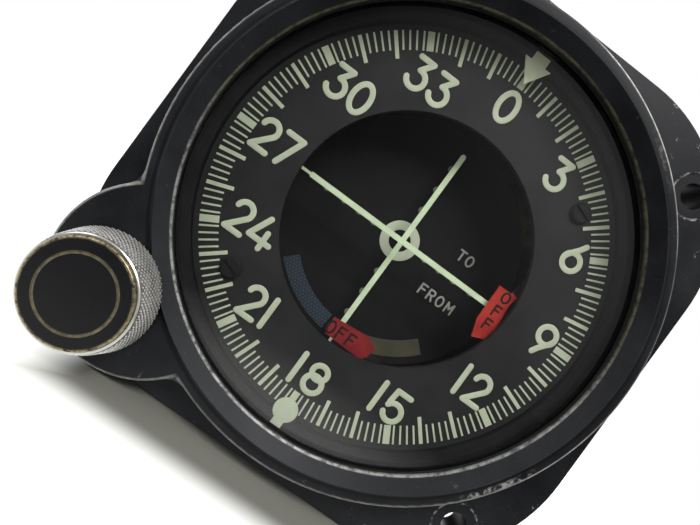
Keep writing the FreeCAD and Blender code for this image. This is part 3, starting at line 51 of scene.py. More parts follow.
# Camera, solved from the dial's ticks and the bezel's rims; the clip distances are in metres
PHOTO_SIZE = (700, 525)
FOCAL_PIXELS = 505.0
SENSOR_WIDTH = 36.0
CAMERA_PLACE = (-10.47, -81.49, -8.37)
AXIS_PIXEL = (322.0, 244.0)
CAMERA_ROLL = 36.19
CAMERA_CLIP = (0.002, 20.0)

# Dial print, with each number as (x of its signs, z)
TICK_STEP = 2
TICK_OUTER = 32.1
TICK_INNER = 29.1
TICK_INNER_TEN = 27.8
TICK_WIDTH = 0.29
TICK_WIDTH_TEN = 0.6
TICK_WIDTH_THIRTY = 1.1
PAINT_HEIGHT = 0.04
PAINT_BEVEL = 0.02
NUMBER_STROKE = 0.92
NUMBER_HALF_WIDTH = 1.45
NUMBER_HALF_HEIGHT = 2.42
NUMBER_PLACES = {
    "0": ((0.15,), 25.75), "3": ((13.0,), 22.2), "6": ((22.9,), 13.5), "9": ((26.9,), 0.0),
    "12": ((19.8, 23.0), -12.5), "15": ((10.55, 13.9), -22.3), "18": ((-2.35, 1.1), -25.9),
    "21": ((-13.8, -10.8), -21.8), "24": ((-22.9, -18.65), -12.3), "27": ((-27.0, -23.1), 0.0),
    "30": ((-22.9, -18.8), 13.1), "33": ((-13.8, -9.6), 21.5)}

# Painted strokes: the rounding of their ends in degrees, and their section as (share of width, lift)
STROKE_END_ANGLES = (84, 66, 45, 22)
STROKE_SECTION = ((-1, 0.0), (-0.9, 0.7), (-0.5, 0.96), (0, 1.0), (0.5, 0.96), (0.9, 0.7), (1, 0.0))
STROKE_END_LIFT = 0.15
WIDEST_BEND = 0.5
SAME_PLACE = 1e-9
SOFT_EDGE_ANGLE = 60.0

# Bezel, as offsets from the glass and the front that the frame gives
BEZEL_WIDTH = 3.0
LEDGE_WIDTH = 1.7
RIM_INSET = 1.5
CREST_STEP = 0.6
RIM_DROP = 1.7
LEDGE_HEIGHT = 4.0
LOBE_RADIUS = 13.9
LOBE_SETBACK = 6.0
MOUNT_HALF = 31.43
SPOT_RADIUS = 3.6

# Face print
RING_OUTER = 3.5
RING_INNER = 1.9
DOT_RADIUS = 0.62
VERTICAL_DOTS = (6.5, 10.8, 15.2)
HORIZONTAL_DOTS = (5.5, 8.6, 11.8, 15.4)
SECTOR_INNER = 17.3
SECTOR_OUTER = 20.2
BLUE_SECTOR = (224.0, 264.0)
YELLOW_SECTOR = (275.0, 317.0)
BLUE_DOT_PITCH = 0.62
WORD_STROKE = 0.34
TO_PLACES = ((10.3, 12.1), 4.3)
FROM_PLACES = ((8.25, 10.05, 11.95, 14.0), -4.4)
WORD_HALF_WIDTH = 0.6
WORD_HALF_HEIGHT = 0.9

# Flag print, and how far from its shaft each flag's arm is black
FLAG_STROKE = 0.36
NAV_WORD_PLACES = ((-1.61, 0.27, 2.15), -18.08)
NAV_LETTER = (0.62, 1.0)
NAV_ARM_REACH = 11.85
GS_WORD_PLACES = (18.42, (1.99, -0.61, -3.16))
GS_LETTER = (0.62, 0.87)
GS_ARM_REACH = 12.0

# Wear and painted highlight, as (compass degrees, half width, soft width, level); the bezel's bright stretch
# near 25 degrees is a painted highlight on its upper right edge, and the rim's stretches carry a painted
# highlight on its lower side
BEZEL_WEAR_AND_HIGHLIGHT = ((25, 12, 12, 1.0), (45, 4, 14, 0.5), (120, 14, 16, 0.55), (165, 18, 14, 0.4),
              (195, 6, 12, 0.3), (265, 16, 14, 0.4), (290, 6, 14, 0.32), (330, 10, 30, 0.15),
              (75, 10, 30, 0.12))
BEZEL_CHIPS = ((36, 3, 5, 0.12), (125, 4, 6, 0.45))
RIM_WEAR_AND_HIGHLIGHT = ((195, 34, 14, 0.5), (150, 10, 12, 0.45), (130, 14, 12, 0.45), (355, 12, 14, 0.6),
            (65, 40, 20, 0.5), (270, 30, 20, 0.45), (315, 20, 20, 0.45))
LARGEST_COSINE = 0.99999

# Knob, with plain rims before and behind its knurl
KNOB_FRONT_RADIUS = 7.75
KNOB_BACK_RADIUS = 8.7
PLAIN_FRONT = 0.55
PLAIN_BACK = 0.35
KNURL_COUNT = 66
KNURL_COLUMNS = KNURL_COUNT * 6
KNURL_ROWS = 84
KNURL_DEPTH = 0.32
KNURL_SHARPNESS = 0.8
KNURL_MEAN = 0.45
CAP_RING_RADIUS = 5.25

# Case
SCRATCH_TURNS = ((0, 0, 0), (35, 20, 50), (70, 0, 110))
SCRATCH_STRETCH = (1.0, 0.05, 0.6)
COVER_EDGE = 0.8

# Gloss of the black finishes
BLACK_GLOSS = 0.2
BEZEL_GLOSS = 0.16
CASE_GLOSS = 0.4

# Studio: the floor's half size, gap, lamps' places, targets and sides are in metres, their power in watts
ROOM_LEVEL = 0.45
ROOM_TINT = (0.95, 0.97, 1.0)
DARK_SIDE = 0.04
BRIGHT_SIDE = (0.4, 0.75, 0.55)
BRIGHT_SIDE_FADE = (-0.7, 0.4)
FLOOR_SHADOW_SIDE = (26.0, 34.0)
FLOOR_SHADOW_FRONT = (14.5, 22.5)
FLOOR_SHADOW_BACK = (108.0, 125.0)
FLOOR_MIRROR_FADE = (-90.0, -20.0)
FLOOR_HALF = 1.2
FLOOR_GAP = 0.0002
LAMPS = (("key", (0.12, -0.4, 0.46), (0, 0, 0), 0.26, 2.9),
         ("fill", (-0.5, -0.36, 0.22), (0, 0, 0), 0.4, 1.7),
         ("back", (0.25, 0.5, 0.45), (0, 0.05, 0), 0.4, 3.0))

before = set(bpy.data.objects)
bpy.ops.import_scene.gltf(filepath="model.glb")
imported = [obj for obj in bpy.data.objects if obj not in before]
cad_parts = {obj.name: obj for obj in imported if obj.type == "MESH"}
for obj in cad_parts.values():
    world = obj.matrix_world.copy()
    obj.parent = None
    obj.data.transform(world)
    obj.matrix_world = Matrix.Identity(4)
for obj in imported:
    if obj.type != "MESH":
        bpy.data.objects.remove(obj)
cad_low, cad_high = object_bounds()


def front_of(node):
    """The y of a node's front, in millimetres."""
    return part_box(node)[0].y / MM


def back_of(node):
    """The y of a node's back, in millimetres."""
    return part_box(node)[1].y / MM


def radius_of(node):
    """The radius of a round node, in millimetres."""
    low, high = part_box(node)
    return (high.x - low.x) / 2 / MM


def middle(node):
    """The x and z of a node's middle, in millimetres."""
    low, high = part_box(node)
    return (low.x + high.x) / 2 / MM, (low.z + high.z) / 2 / MM


# Places taken from the frame; forward is the distance before y = 0
GLASS_RADIUS = radius_of("cover_glass")
BEZEL_RADIUS = GLASS_RADIUS + BEZEL_WIDTH
CREST_RADIUS = BEZEL_RADIUS - LEDGE_WIDTH
RIM_RADIUS = GLASS_RADIUS - RIM_INSET
BEZEL_FORWARD = -front_of("bezel_housing")
LEDGE_FORWARD = BEZEL_FORWARD - CREST_STEP
RIM_FORWARD = BEZEL_FORWARD - RIM_DROP
FLANGE_FORWARD = LEDGE_FORWARD - LEDGE_HEIGHT
HOLE_PLACES = [(x * MOUNT_HALF, z * MOUNT_HALF) for x, z in ((1, 1), (1, -1), (-1, 1))]
DIAL_FRONT = front_of("azimuth_dial")
FACE_FRONT = front_of("face_plate")
KNOB_CENTRE = middle("knob_skirt")
KNOB_REACH = math.hypot(*KNOB_CENTRE)
LOBE_CENTRE = [value * (KNOB_REACH - LOBE_SETBACK) / KNOB_REACH for value in KNOB_CENTRE]
KNOB_FRONT = front_of("knob_skirt")
KNOB_BACK = back_of("knob_skirt")
CAP_RADIUS = radius_of("knob_cap")
BARREL_RADIUS = radius_of("case_barrel")
BARREL_END = back_of("case_barrel")
COVER_END = back_of("rear_cover")


# Node trees and materials


class Nodes:
    """A node tree with short calls for the nodes that this scene uses."""

    def __init__(self, tree):
        self.tree = tree

    def add(self, kind, **settings):
        node = self.tree.nodes.new(kind)
        for key, value in settings.items():
            setattr(node, key, value)
        return node

    def link(self, value, socket):
        """Feed a socket from another socket, a number or a colour."""
        if isinstance(value, bpy.types.NodeSocket):
            self.tree.links.new(value, socket)
        elif isinstance(value, (int, float)):
            socket.default_value = value
        elif len(value) == 3 and len(socket.default_value) == 4:
            socket.default_value = (*value, 1.0)
        else:
            socket.default_value = value

    def math(self, operation, a, b=0.0):
        node = self.add("ShaderNodeMath", operation=operation)
        self.link(a, node.inputs[0])
        self.link(b, node.inputs[1])
        return node.outputs[0]

    def product(self, *values):
        """All the values multiplied."""
        total = values[0]
        for value in values[1:]:
            total = self.math("MULTIPLY", total, value)
        return total

    def strongest(self, *values):
        """The largest of the values."""
        total = values[0]
        for value in values[1:]:
            total = self.math("MAXIMUM", total, value)
        return total

    def invert(self, value):
        """1 less the value."""
        return self.math("SUBTRACT", 1.0, value)

    def step(self, value, low, high):
        """0 below low, 1 above high, smooth between."""
        node = self.add("ShaderNodeMapRange", interpolation_type="SMOOTHSTEP")
        self.link(value, node.inputs["Value"])
        node.inputs["From Min"].default_value = low
        node.inputs["From Max"].default_value = high
        return node.outputs["Result"]

    def range(self, value, from_low, from_high, to_low, to_high):
        """The value carried from one span to another and kept inside it."""
        node = self.add("ShaderNodeMapRange")
        self.link(value, node.inputs["Value"])
        ends = {"From Min": from_low, "From Max": from_high, "To Min": to_low, "To Max": to_high}
        for key, number in ends.items():
            node.inputs[key].default_value = number
        return node.outputs["Result"]

    def band(self, value, centre, half, soft):
        """1 within half of centre, fading to 0 over soft."""
        away = self.math("ABSOLUTE", self.math("SUBTRACT", value, centre))
        return self.invert(self.step(away, half, half + soft))

    def hypotenuse(self, a, b):
        """The length of a step of a one way and b across it."""
        return self.math("SQRT", self.math("ADD", self.product(a, a), self.product(b, b)))


class Shader(Nodes):
    """A material, with measures of its surface point in the part's frame."""

    def __init__(self, name):
        self.material = bpy.data.materials.new(name)
        self.material.use_nodes = True
        super().__init__(self.material.node_tree)
        self.bsdf = self.tree.nodes["Principled BSDF"]
        self.output = self.tree.nodes["Material Output"]
        self.place = self.add("ShaderNodeTexCoord").outputs["Object"]

    def noise(self, size_mm, detail=2.0, roughness=0.5, vector=None):
        node = self.add("ShaderNodeTexNoise")
        self.link(self.place if vector is None else vector, node.inputs["Vector"])
        node.inputs["Scale"].default_value = 1.0 / (size_mm * MM)
        node.inputs["Detail"].default_value = detail
        node.inputs["Roughness"].default_value = roughness
        return node.outputs["Fac"]

    def blend(self, factor, a, b):
        """Colour a where factor is 0, b where it is 1."""
        node = self.add("ShaderNodeMix", data_type="RGBA")
        self.link(factor, node.inputs[0])
        self.link(a, node.inputs[6])
        self.link(b, node.inputs[7])
        return node.outputs[2]

    def axes(self):
        """The x, y and z of the surface point in millimetres."""
        scaled = self.add("ShaderNodeVectorMath", operation="SCALE")
        self.link(self.place, scaled.inputs[0])
        scaled.inputs["Scale"].default_value = 1.0 / MM
        parts = self.add("ShaderNodeSeparateXYZ")
        self.link(scaled.outputs[0], parts.inputs[0])
        return parts.outputs[0], parts.outputs[1], parts.outputs[2]

    def radius(self, centre_x=0.0, centre_z=0.0):
        """Distance in millimetres from a line along Y."""
        x, _, z = self.axes()
        return self.hypotenuse(self.math("SUBTRACT", x, centre_x), self.math("SUBTRACT", z, centre_z))

    def stretches(self, parts):
        """The strongest of several stretches round the dial: (compass degrees, half, soft, level)."""
        x, _, z = self.axes()
        reach = self.radius()
        x = self.math("DIVIDE", x, reach)
        z = self.math("DIVIDE", z, reach)
        level_here = 0.0
        for compass, half, soft, level in parts:
            turn = math.radians(compass)
            along = self.math("ADD", self.product(x, math.sin(turn)), self.product(z, math.cos(turn)))
            away = self.math("ARCCOSINE", self.math("MINIMUM", along, LARGEST_COSINE))
            near = self.invert(self.step(away, math.radians(half), math.radians(half + soft)))
            level_here = self.strongest(level_here, self.product(near, level))
        return level_here

    def bump(self, height, strength=0.3, distance_mm=0.05, normal=None):
        node = self.add("ShaderNodeBump")
        node.inputs["Strength"].default_value = strength
        node.inputs["Distance"].default_value = distance_mm * MM
        self.link(height, node.inputs["Height"])
        if normal is not None:
            self.link(normal, node.inputs["Normal"])
        return node.outputs["Normal"]

    def surface(self, colour, rough, metal, normal=None, **fixed):
        """Feed the surface's sockets; more of them go by name, with _ for a space."""
        self.link(colour, self.bsdf.inputs["Base Color"])
        self.link(rough, self.bsdf.inputs["Roughness"])
        self.link(metal, self.bsdf.inputs["Metallic"])
        if normal is not None:
            self.link(normal, self.bsdf.inputs["Normal"])
        for key, value in fixed.items():
            self.link(value, self.bsdf.inputs[key.replace("_", " ")])
        return self.material


# Finishes


def plain_metal(name, dark, light, rough=(0.25, 0.45), grain_mm=0.6):
    """Bare or plated metal with a little tarnish and tool grain."""
    s = Shader(name)
    tarnish = s.noise(6.0, 4.0, 0.6)
    grain = s.noise(grain_mm, 3.0, 0.7)
    colour = s.blend(s.step(tarnish, 0.35, 0.7), light, dark)
    roughness = s.range(grain, 0.3, 0.7, rough[0], rough[1])
    return s.surface(colour, roughness, 1.0, s.bump(grain, 0.15, 0.02))


def paint(name, colour_low, colour_high, rough=0.6, grain_mm=0.25, cloud_mm=3.0, gloss=0.5):
    """Matte printed or sprayed paint with a faint mottle."""
    s = Shader(name)
    cloud = s.noise(cloud_mm, 4.0, 0.65)
    grain = s.noise(grain_mm, 2.0, 0.5)
    colour = s.blend(s.step(cloud, 0.3, 0.7), colour_low, colour_high)
    roughness = s.range(grain, 0.3, 0.7, rough - 0.06, rough + 0.08)
    return s.surface(colour, roughness, 0.0, s.bump(grain, 0.2, 0.02), Specular_IOR_Level=gloss)


def scratches(s, cloud):
    """Fine handling scratches in three directions, kept to some patches."""
    marks = 0.0
    for turn in SCRATCH_TURNS:
        stretched = s.add("ShaderNodeMapping")
        s.link(s.place, stretched.inputs["Vector"])
        stretched.inputs["Rotation"].default_value = [math.radians(angle) for angle in turn]
        stretched.inputs["Scale"].default_value = SCRATCH_STRETCH
        lines = s.noise(0.9, 2.0, 0.4, stretched.outputs[0])
        marks = s.strongest(marks, s.step(lines, 0.735, 0.76))
    return s.product(marks, s.step(cloud, 0.5, 0.62))


def enamel(name, low, high, worn_rims):
    """Satin enamel with an uneven film, dust, handling scratches and rims worn to metal.

    worn_rims holds (radius from the dial's axis, y) of the edges that wear, in millimetres.
    """
    s = Shader(name)
    _, y, _ = s.axes()
    film = s.noise(0.5, 3.0, 0.55)
    cloud = s.noise(14.0, 4.0, 0.6)
    fine = s.noise(1.6, 4.0, 0.7)
    colour = s.blend(s.step(cloud, 0.35, 0.7), low, high)
    dust = s.product(s.step(s.noise(0.16, 1.0, 0.4), 0.72, 0.8), 0.35)
    colour = s.blend(dust, colour, (0.22, 0.21, 0.19))
    marks = scratches(s, cloud)
    colour = s.blend(s.product(marks, 0.55), colour, (0.2, 0.2, 0.19))
    bare = 0.0
    radius = s.radius()
    for rim_radius, rim_y in worn_rims:
        rim = s.product(s.band(radius, rim_radius, 0.05, 0.16), s.band(y, rim_y, 0.05, 0.2))
        bare = s.strongest(bare, s.product(rim, s.step(fine, 0.44, 0.66)))
    bare = s.product(bare, s.range(s.noise(9.0, 3.0, 0.6), 0.42, 0.6, 0.1, 0.8))
    colour = s.blend(bare, colour, (0.4, 0.39, 0.37))
    rough = s.math("ADD", s.range(cloud, 0.3, 0.7, 0.38, 0.5), s.product(marks, 0.08))
    return s.surface(colour, rough, s.product(bare, 0.8), s.bump(film, 0.25, 0.03),
                     Specular_IOR_Level=CASE_GLOSS)


def bezel_black(s, cloud):
    """Black enamel under dust and lint."""
    black = s.blend(s.step(cloud, 0.35, 0.7), (0.007, 0.0075, 0.0095), (0.015, 0.016, 0.019))
    dust = s.product(s.step(s.noise(0.22, 1.0, 0.4), 0.7, 0.8), 0.3)
    black = s.blend(dust, black, (0.12, 0.12, 0.11))
    lint = s.product(s.step(s.noise(0.5, 6.0, 0.8), 0.7, 0.74), 0.5)
    return s.blend(lint, black, (0.1, 0.1, 0.09))


def edge_wear_and_highlight(s, fine, radius, near_top):
    """How bare the upper edges of bezel and lobe are, with the chips beside them; on the bezel's upper right
    edge this is also a painted highlight.
    """
    lobe_radius = s.radius(*LOBE_CENTRE)
    outside_lobe = s.step(lobe_radius, LOBE_RADIUS - 0.3, LOBE_RADIUS + 0.4)
    outside_bezel = s.step(radius, BEZEL_RADIUS - 0.6, BEZEL_RADIUS + 0.4)
    # The bezel's edge is bare metal, and near 25 degrees a painted highlight.
    bezel_edge_wear_and_highlight = s.product(s.band(radius, BEZEL_RADIUS - 0.2, 0.14, 0.22), outside_lobe,
                           s.stretches(BEZEL_WEAR_AND_HIGHLIGHT))
    lobe_edge = s.product(s.band(lobe_radius, LOBE_RADIUS - 0.2, 0.12, 0.25), outside_bezel, 0.45)
    edge = s.product(s.strongest(bezel_edge_wear_and_highlight, lobe_edge), near_top, s.range(fine, 0.28, 0.6, 0.45, 1.0))
    chips = s.product(s.band(radius, BEZEL_RADIUS - 0.5, 0.5, 0.5), s.stretches(BEZEL_CHIPS),
                      s.step(fine, 0.45, 0.6), near_top)
    return s.strongest(edge, chips)


def flange_wear(s, fine, radius, forward, near_top):
    """How bare the flange is: nicks towards its corners and rings where screw heads bore."""
    front = s.product(s.step(forward, FLANGE_FORWARD - 0.4, FLANGE_FORWARD - 0.05),
                      s.step(radius, BEZEL_RADIUS + 0.2, BEZEL_RADIUS + 0.5))
    corner = s.product(s.step(radius, BEZEL_RADIUS + 1.0, BEZEL_RADIUS + 8.0), front)
    nicks = s.product(s.step(s.noise(2.4, 5.0, 0.75), 0.645, 0.69),
                      s.strongest(corner, s.product(near_top, 0.12)), 0.45)
    holes = 0.0
    for place in HOLE_PLACES:
        holes = s.strongest(holes, s.band(s.radius(*place), SPOT_RADIUS, 0.08, 0.2))
    return s.strongest(nicks, s.product(holes, front, s.step(fine, 0.42, 0.6), 0.5))


def rim_wear_and_highlight(s, fine, radius, forward):
    """How bare the rim round the glass is, in stretches; the same mask carries the rim's painted highlight.
    """
    return s.product(s.band(radius, RIM_RADIUS + 0.05, 0.12, 0.16), s.stretches(RIM_WEAR_AND_HIGHLIGHT),
                     s.range(fine, 0.38, 0.55, 0.2, 1.0),
                     s.step(forward, RIM_FORWARD - 0.6, RIM_FORWARD - 0.3))


def bezel_finish():
    """Black enamel on the casting, worn to metal along its edges and round its holes, with painted shade in
    its crease and painted highlights.
    """
    s = Shader("bezel_enamel")
    _, y, z = s.axes()
    forward = s.product(y, -1.0)
    film = s.noise(0.45, 3.0, 0.55)
    cloud = s.noise(11.0, 5.0, 0.62)
    fine = s.noise(1.3, 4.0, 0.7)
    radius = s.radius()
    near_top = s.step(forward, LEDGE_FORWARD - 1.0, LEDGE_FORWARD - 0.3)
    # worn holds the edges' wear and the painted highlight on the upper right edge, coloured near white
    # below.
    worn = s.strongest(edge_wear_and_highlight(s, fine, radius, near_top),
                       flange_wear(s, fine, radius, forward, near_top))
    rim = rim_wear_and_highlight(s, fine, radius, forward)
    # A near-black band just inside the ledge: painted shade in the crease between crest and ledge.
    groove = s.product(s.band(radius, CREST_RADIUS + 0.15, 0.12, 0.3), near_top, 0.7)
    colour = s.blend(groove, bezel_black(s, cloud), (0.003, 0.003, 0.004))
    colour = s.blend(worn, colour, s.blend(fine, (0.42, 0.41, 0.38), (0.86, 0.85, 0.8)))
    # The rim's bare colour is lighter towards the bottom: a painted highlight on the lower rim, over wear.
    rim_wear_and_highlight_colour = s.blend(s.step(z, -16.0, 8.0), (0.6, 0.6, 0.56), (0.17, 0.155, 0.1))
    colour = s.blend(rim, colour, rim_wear_and_highlight_colour)
    # bare holds wear and the painted highlights, and makes them partly metallic.
    bare = s.strongest(worn, rim)
    rough = s.blend(bare, s.range(cloud, 0.3, 0.7, 0.36, 0.5), (0.4, 0.4, 0.4))
    return s.surface(colour, rough, s.product(bare, 0.4), s.bump(film, 0.3, 0.03),
                     Specular_IOR_Level=BEZEL_GLOSS)


def dial_finish():
    """Matte dark dial with a fine grain, a few specks and faint rubs."""
    s = Shader("dial_matte")
    cloud = s.noise(9.0, 4.0, 0.6)
    grain = s.noise(0.12, 2.0, 0.5)
    colour = s.blend(s.step(cloud, 0.3, 0.7), (0.012, 0.012, 0.0125), (0.02, 0.02, 0.02))
    specks = s.product(s.step(s.noise(0.22, 1.0, 0.3), 0.75, 0.82), 0.5)
    colour = s.blend(specks, colour, (0.2, 0.2, 0.18))
    return s.surface(colour, s.range(grain, 0.3, 0.7, 0.5, 0.68), 0.0, s.bump(grain, 0.3, 0.02),
                     Specular_IOR_Level=BLACK_GLOSS)


def blue_finish():
    """Blue sector with a hexagonal field of pale dots."""
    s = Shader("sector_blue")
    x, _, z = s.axes()
    pitch = BLUE_DOT_PITCH
    row_pitch = pitch * math.sqrt(3)
    fields = []
    for shift in (100.0, 100.5):
        column = s.math("FRACT", s.math("ADD", s.math("DIVIDE", x, pitch), shift))
        row = s.math("FRACT", s.math("ADD", s.math("DIVIDE", z, row_pitch), shift))
        away = s.hypotenuse(s.product(s.math("SUBTRACT", column, 0.5), pitch),
                            s.product(s.math("SUBTRACT", row, 0.5), row_pitch))
        fields.append(s.invert(s.step(away, 0.14, 0.24)))
    base = s.blend(s.noise(2.0, 3.0, 0.6), (0.012, 0.019, 0.03), (0.018, 0.03, 0.045))
    colour = s.blend(s.strongest(*fields), base, (0.045, 0.07, 0.095))
    return s.surface(colour, 0.6, 0.0)


def flag_finish(name, low, high, shaft, arm_reach):
    """Red fluorescent paint, uneven where it was brushed on; the arm near the shaft is black."""
    s = Shader(name)
    cloud = s.noise(2.5, 4.0, 0.6)
    grain = s.noise(0.15, 2.0, 0.5)
    red = s.blend(s.step(cloud, 0.3, 0.7), low, high)
    painted = s.step(s.radius(*middle(shaft)), arm_reach - 0.05, arm_reach)
    colour = s.blend(painted, (0.008, 0.008, 0.008), red)
    return s.surface(colour, s.range(grain, 0.3, 0.7, 0.5, 0.62), 0.0, s.bump(grain, 0.25, 0.02),
                     Specular_IOR_Level=BLACK_GLOSS)


def glass_finish():
    """Clear window glass.

    Shadow and diffuse rays pass straight through it, and so do mirror rays that haven't gone through
    glass before, so that the white room doesn't veil the dial.
    """
    s = Shader("window_glass")
    s.surface((1.0, 1.0, 1.0), 0.02, 0.0, Transmission_Weight=1.0, IOR=1.5)
    clear = s.add("ShaderNodeBsdfTransparent")
    s.link((0.97, 0.98, 0.97), clear.inputs["Color"])
    path = s.add("ShaderNodeLightPath").outputs
    mirrored = s.product(path["Is Glossy Ray"], s.invert(path["Is Transmission Ray"]))
    mix = s.add("ShaderNodeMixShader")
    s.link(s.strongest(path["Is Shadow Ray"], path["Is Diffuse Ray"], mirrored), mix.inputs[0])
    s.link(s.bsdf.outputs[0], mix.inputs[1])
    s.link(clear.outputs[0], mix.inputs[2])
    s.link(mix.outputs[0], s.output.inputs["Surface"])
    return s.material


def cap_finish():
    """Black lacquer on the knob's brass cap, worn at its edge and in its ring."""
    s = Shader("cap_lacquer")
    radius = s.radius(*KNOB_CENTRE)
    fine = s.noise(0.9, 4.0, 0.7)
    cloud = s.noise(5.0, 4.0, 0.6)
    black = s.blend(cloud, (0.004, 0.004, 0.005), (0.01, 0.01, 0.012))
    lint = s.product(s.step(s.noise(0.6, 6.0, 0.8), 0.68, 0.72), 0.6)
    black = s.blend(lint, black, (0.16, 0.15, 0.12))
    edge = s.product(s.step(radius, CAP_RADIUS - 0.5, CAP_RADIUS - 0.15), s.step(fine, 0.32, 0.58))
    groove = s.band(radius, CAP_RING_RADIUS, 0.13, 0.12)
    ring = s.product(groove, s.range(fine, 0.3, 0.6, 0.3, 1.0))
    colour = s.blend(edge, black, s.blend(fine, (0.16, 0.13, 0.07), (0.5, 0.43, 0.26)))
    colour = s.blend(ring, colour, (0.24, 0.21, 0.13))
    bare = s.strongest(edge, s.product(ring, 0.5))
    normal = s.bump(fine, 0.15, 0.02, s.bump(groove, -0.6, 0.1))
    return s.surface(colour, s.range(cloud, 0.3, 0.7, 0.24, 0.38), s.product(bare, 0.7), normal,
                     Specular_IOR_Level=BLACK_GLOSS)


def knurl_finish():
    """Nickel plate on the knob's skirt, bright on the points and near black in the valleys."""
    s = Shader("knob_nickel")
    _, y, _ = s.axes()
    cone = s.range(y, KNOB_FRONT, KNOB_BACK, KNOB_FRONT_RADIUS, KNOB_BACK_RADIUS)
    height = s.math("SUBTRACT", s.radius(*KNOB_CENTRE), cone)
    knurl_mottle = s.noise(1.8, 4.0, 0.65)
    wall = s.step(s.math("SUBTRACT", y, KNOB_FRONT), 0.3, 0.45)
    # Near black in the knurl's valleys, behind the front rim.
    valley = s.invert(s.step(height, -0.08, 0.12))
    valley_dark = s.product(valley, wall, s.range(knurl_mottle, 0.3, 0.6, 0.65, 1.0))
    bright = s.blend(knurl_mottle, (0.5, 0.49, 0.46), (0.78, 0.77, 0.74))
    colour = s.blend(valley_dark, bright, (0.03, 0.028, 0.022))
    rough = s.blend(valley_dark, (0.24, 0.24, 0.24), (0.6, 0.6, 0.6))
    return s.surface(colour, rough, s.range(valley_dark, 0.0, 1.0, 0.9, 0.3), s.bump(knurl_mottle, 0.1, 0.02))


# Meshes


def mesh_object(name, mesh_tool, body, material):
    """A piece from a finished bmesh, riding on a body."""
    mesh = bpy.data.meshes.new(name)
    mesh_tool.normal_update()
    mesh_tool.to_mesh(mesh)
    mesh_tool.free()
    piece = bpy.data.objects.new(name, mesh)
    bpy.context.scene.collection.objects.link(piece)
    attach(piece, body)
    mesh.materials.append(material)
    return piece


def smooth(piece):
    """Smooth shading with sharp edges kept."""
    for polygon in piece.data.polygons:
        polygon.use_smooth = True
    piece.data.set_sharp_from_angle(angle=math.radians(SOFT_EDGE_ANGLE))


def corner_at(mesh_tool, x, y, z):
    """A new mesh corner from millimetres."""
    return mesh_tool.verts.new((x * MM, y * MM, z * MM))


def stations_along(points, half, closed):
    """The places along a stroke with the half width at each; an open stroke gets round ends."""
    if closed:
        return [(Vector(point), half) for point in points]
    start, end = Vector(points[0]), Vector(points[-1])
    first = (Vector(points[1]) - start).normalized()
    last = (end - Vector(points[-2])).normalized()
    turns = [math.radians(angle) for angle in STROKE_END_ANGLES]
    stations = [(start - first * half * math.sin(turn), half * math.cos(turn)) for turn in turns]
    stations += [(Vector(point), half) for point in points]
    stations += [(end + last * half * math.sin(turn), half * math.cos(turn)) for turn in reversed(turns)]
    return stations


def bend_at(stations, i, closed):
    """The direction across a stroke at a station, and how far a bend spreads it there."""
    count = len(stations)
    place = stations[i][0]
    before = stations[(i - 1) % count][0] if closed or i > 0 else place
    after = stations[(i + 1) % count][0] if closed or i < count - 1 else place
    incoming = place - before
    outgoing = after - place
    if incoming.length <= SAME_PLACE:
        incoming = outgoing
    if outgoing.length <= SAME_PLACE:
        outgoing = incoming
    incoming = incoming.normalized()
    tangent = (incoming + outgoing.normalized()).normalized()
    return Vector((-tangent.y, tangent.x)), 1.0 / max(WIDEST_BEND, tangent.dot(incoming))


def stroke(mesh_tool, points, width, front, height, closed=False):
    """A raised line of paint along points (x, z), in millimetres, with round ends.

    front is the y of the surface that carries it; the paint stands towards -Y.
    """
    half = width / 2
    stations = stations_along(points, half, closed)
    rows = []
    for i, (place, reach) in enumerate(stations):
        side, spread = bend_at(stations, i, closed)
        row = []
        for share, lift in STROKE_SECTION:
            flat = place + side * reach * share * spread
            y = front - height * lift * min(1.0, reach / half + STROKE_END_LIFT)
            row.append(corner_at(mesh_tool, flat.x, y, flat.y))
        rows.append(row)
    followers = rows[1:] + rows[:1] if closed else rows[1:]
    for a, b in zip(rows, followers):
        for j in range(len(STROKE_SECTION) - 1):
            mesh_tool.faces.new((a[j], b[j], b[j + 1], a[j + 1]))
    if not closed:
        mesh_tool.faces.new(rows[0])
        mesh_tool.faces.new(list(reversed(rows[-1])))


def arc(centre, radius, start, end, squeeze=1.0, steps=18):
    """Points on an arc, in degrees counter-clockwise from +X; squeeze scales its height."""
    points = []
    for i in range(steps + 1):
        angle = math.radians(start + (end - start) * i / steps)
        points.append((centre[0] + radius * math.cos(angle), centre[1] + radius * squeeze * math.sin(angle)))
    return points


def ring_stroke(centre, radius, squeeze=1.0, steps=18):
    """A closed round stroke, as (points, closed)."""
    return arc(centre, radius, 0, 360, squeeze, steps)[:-1], True


def line_stroke(*points):
    """An open stroke, as (points, closed)."""
    return list(points), False


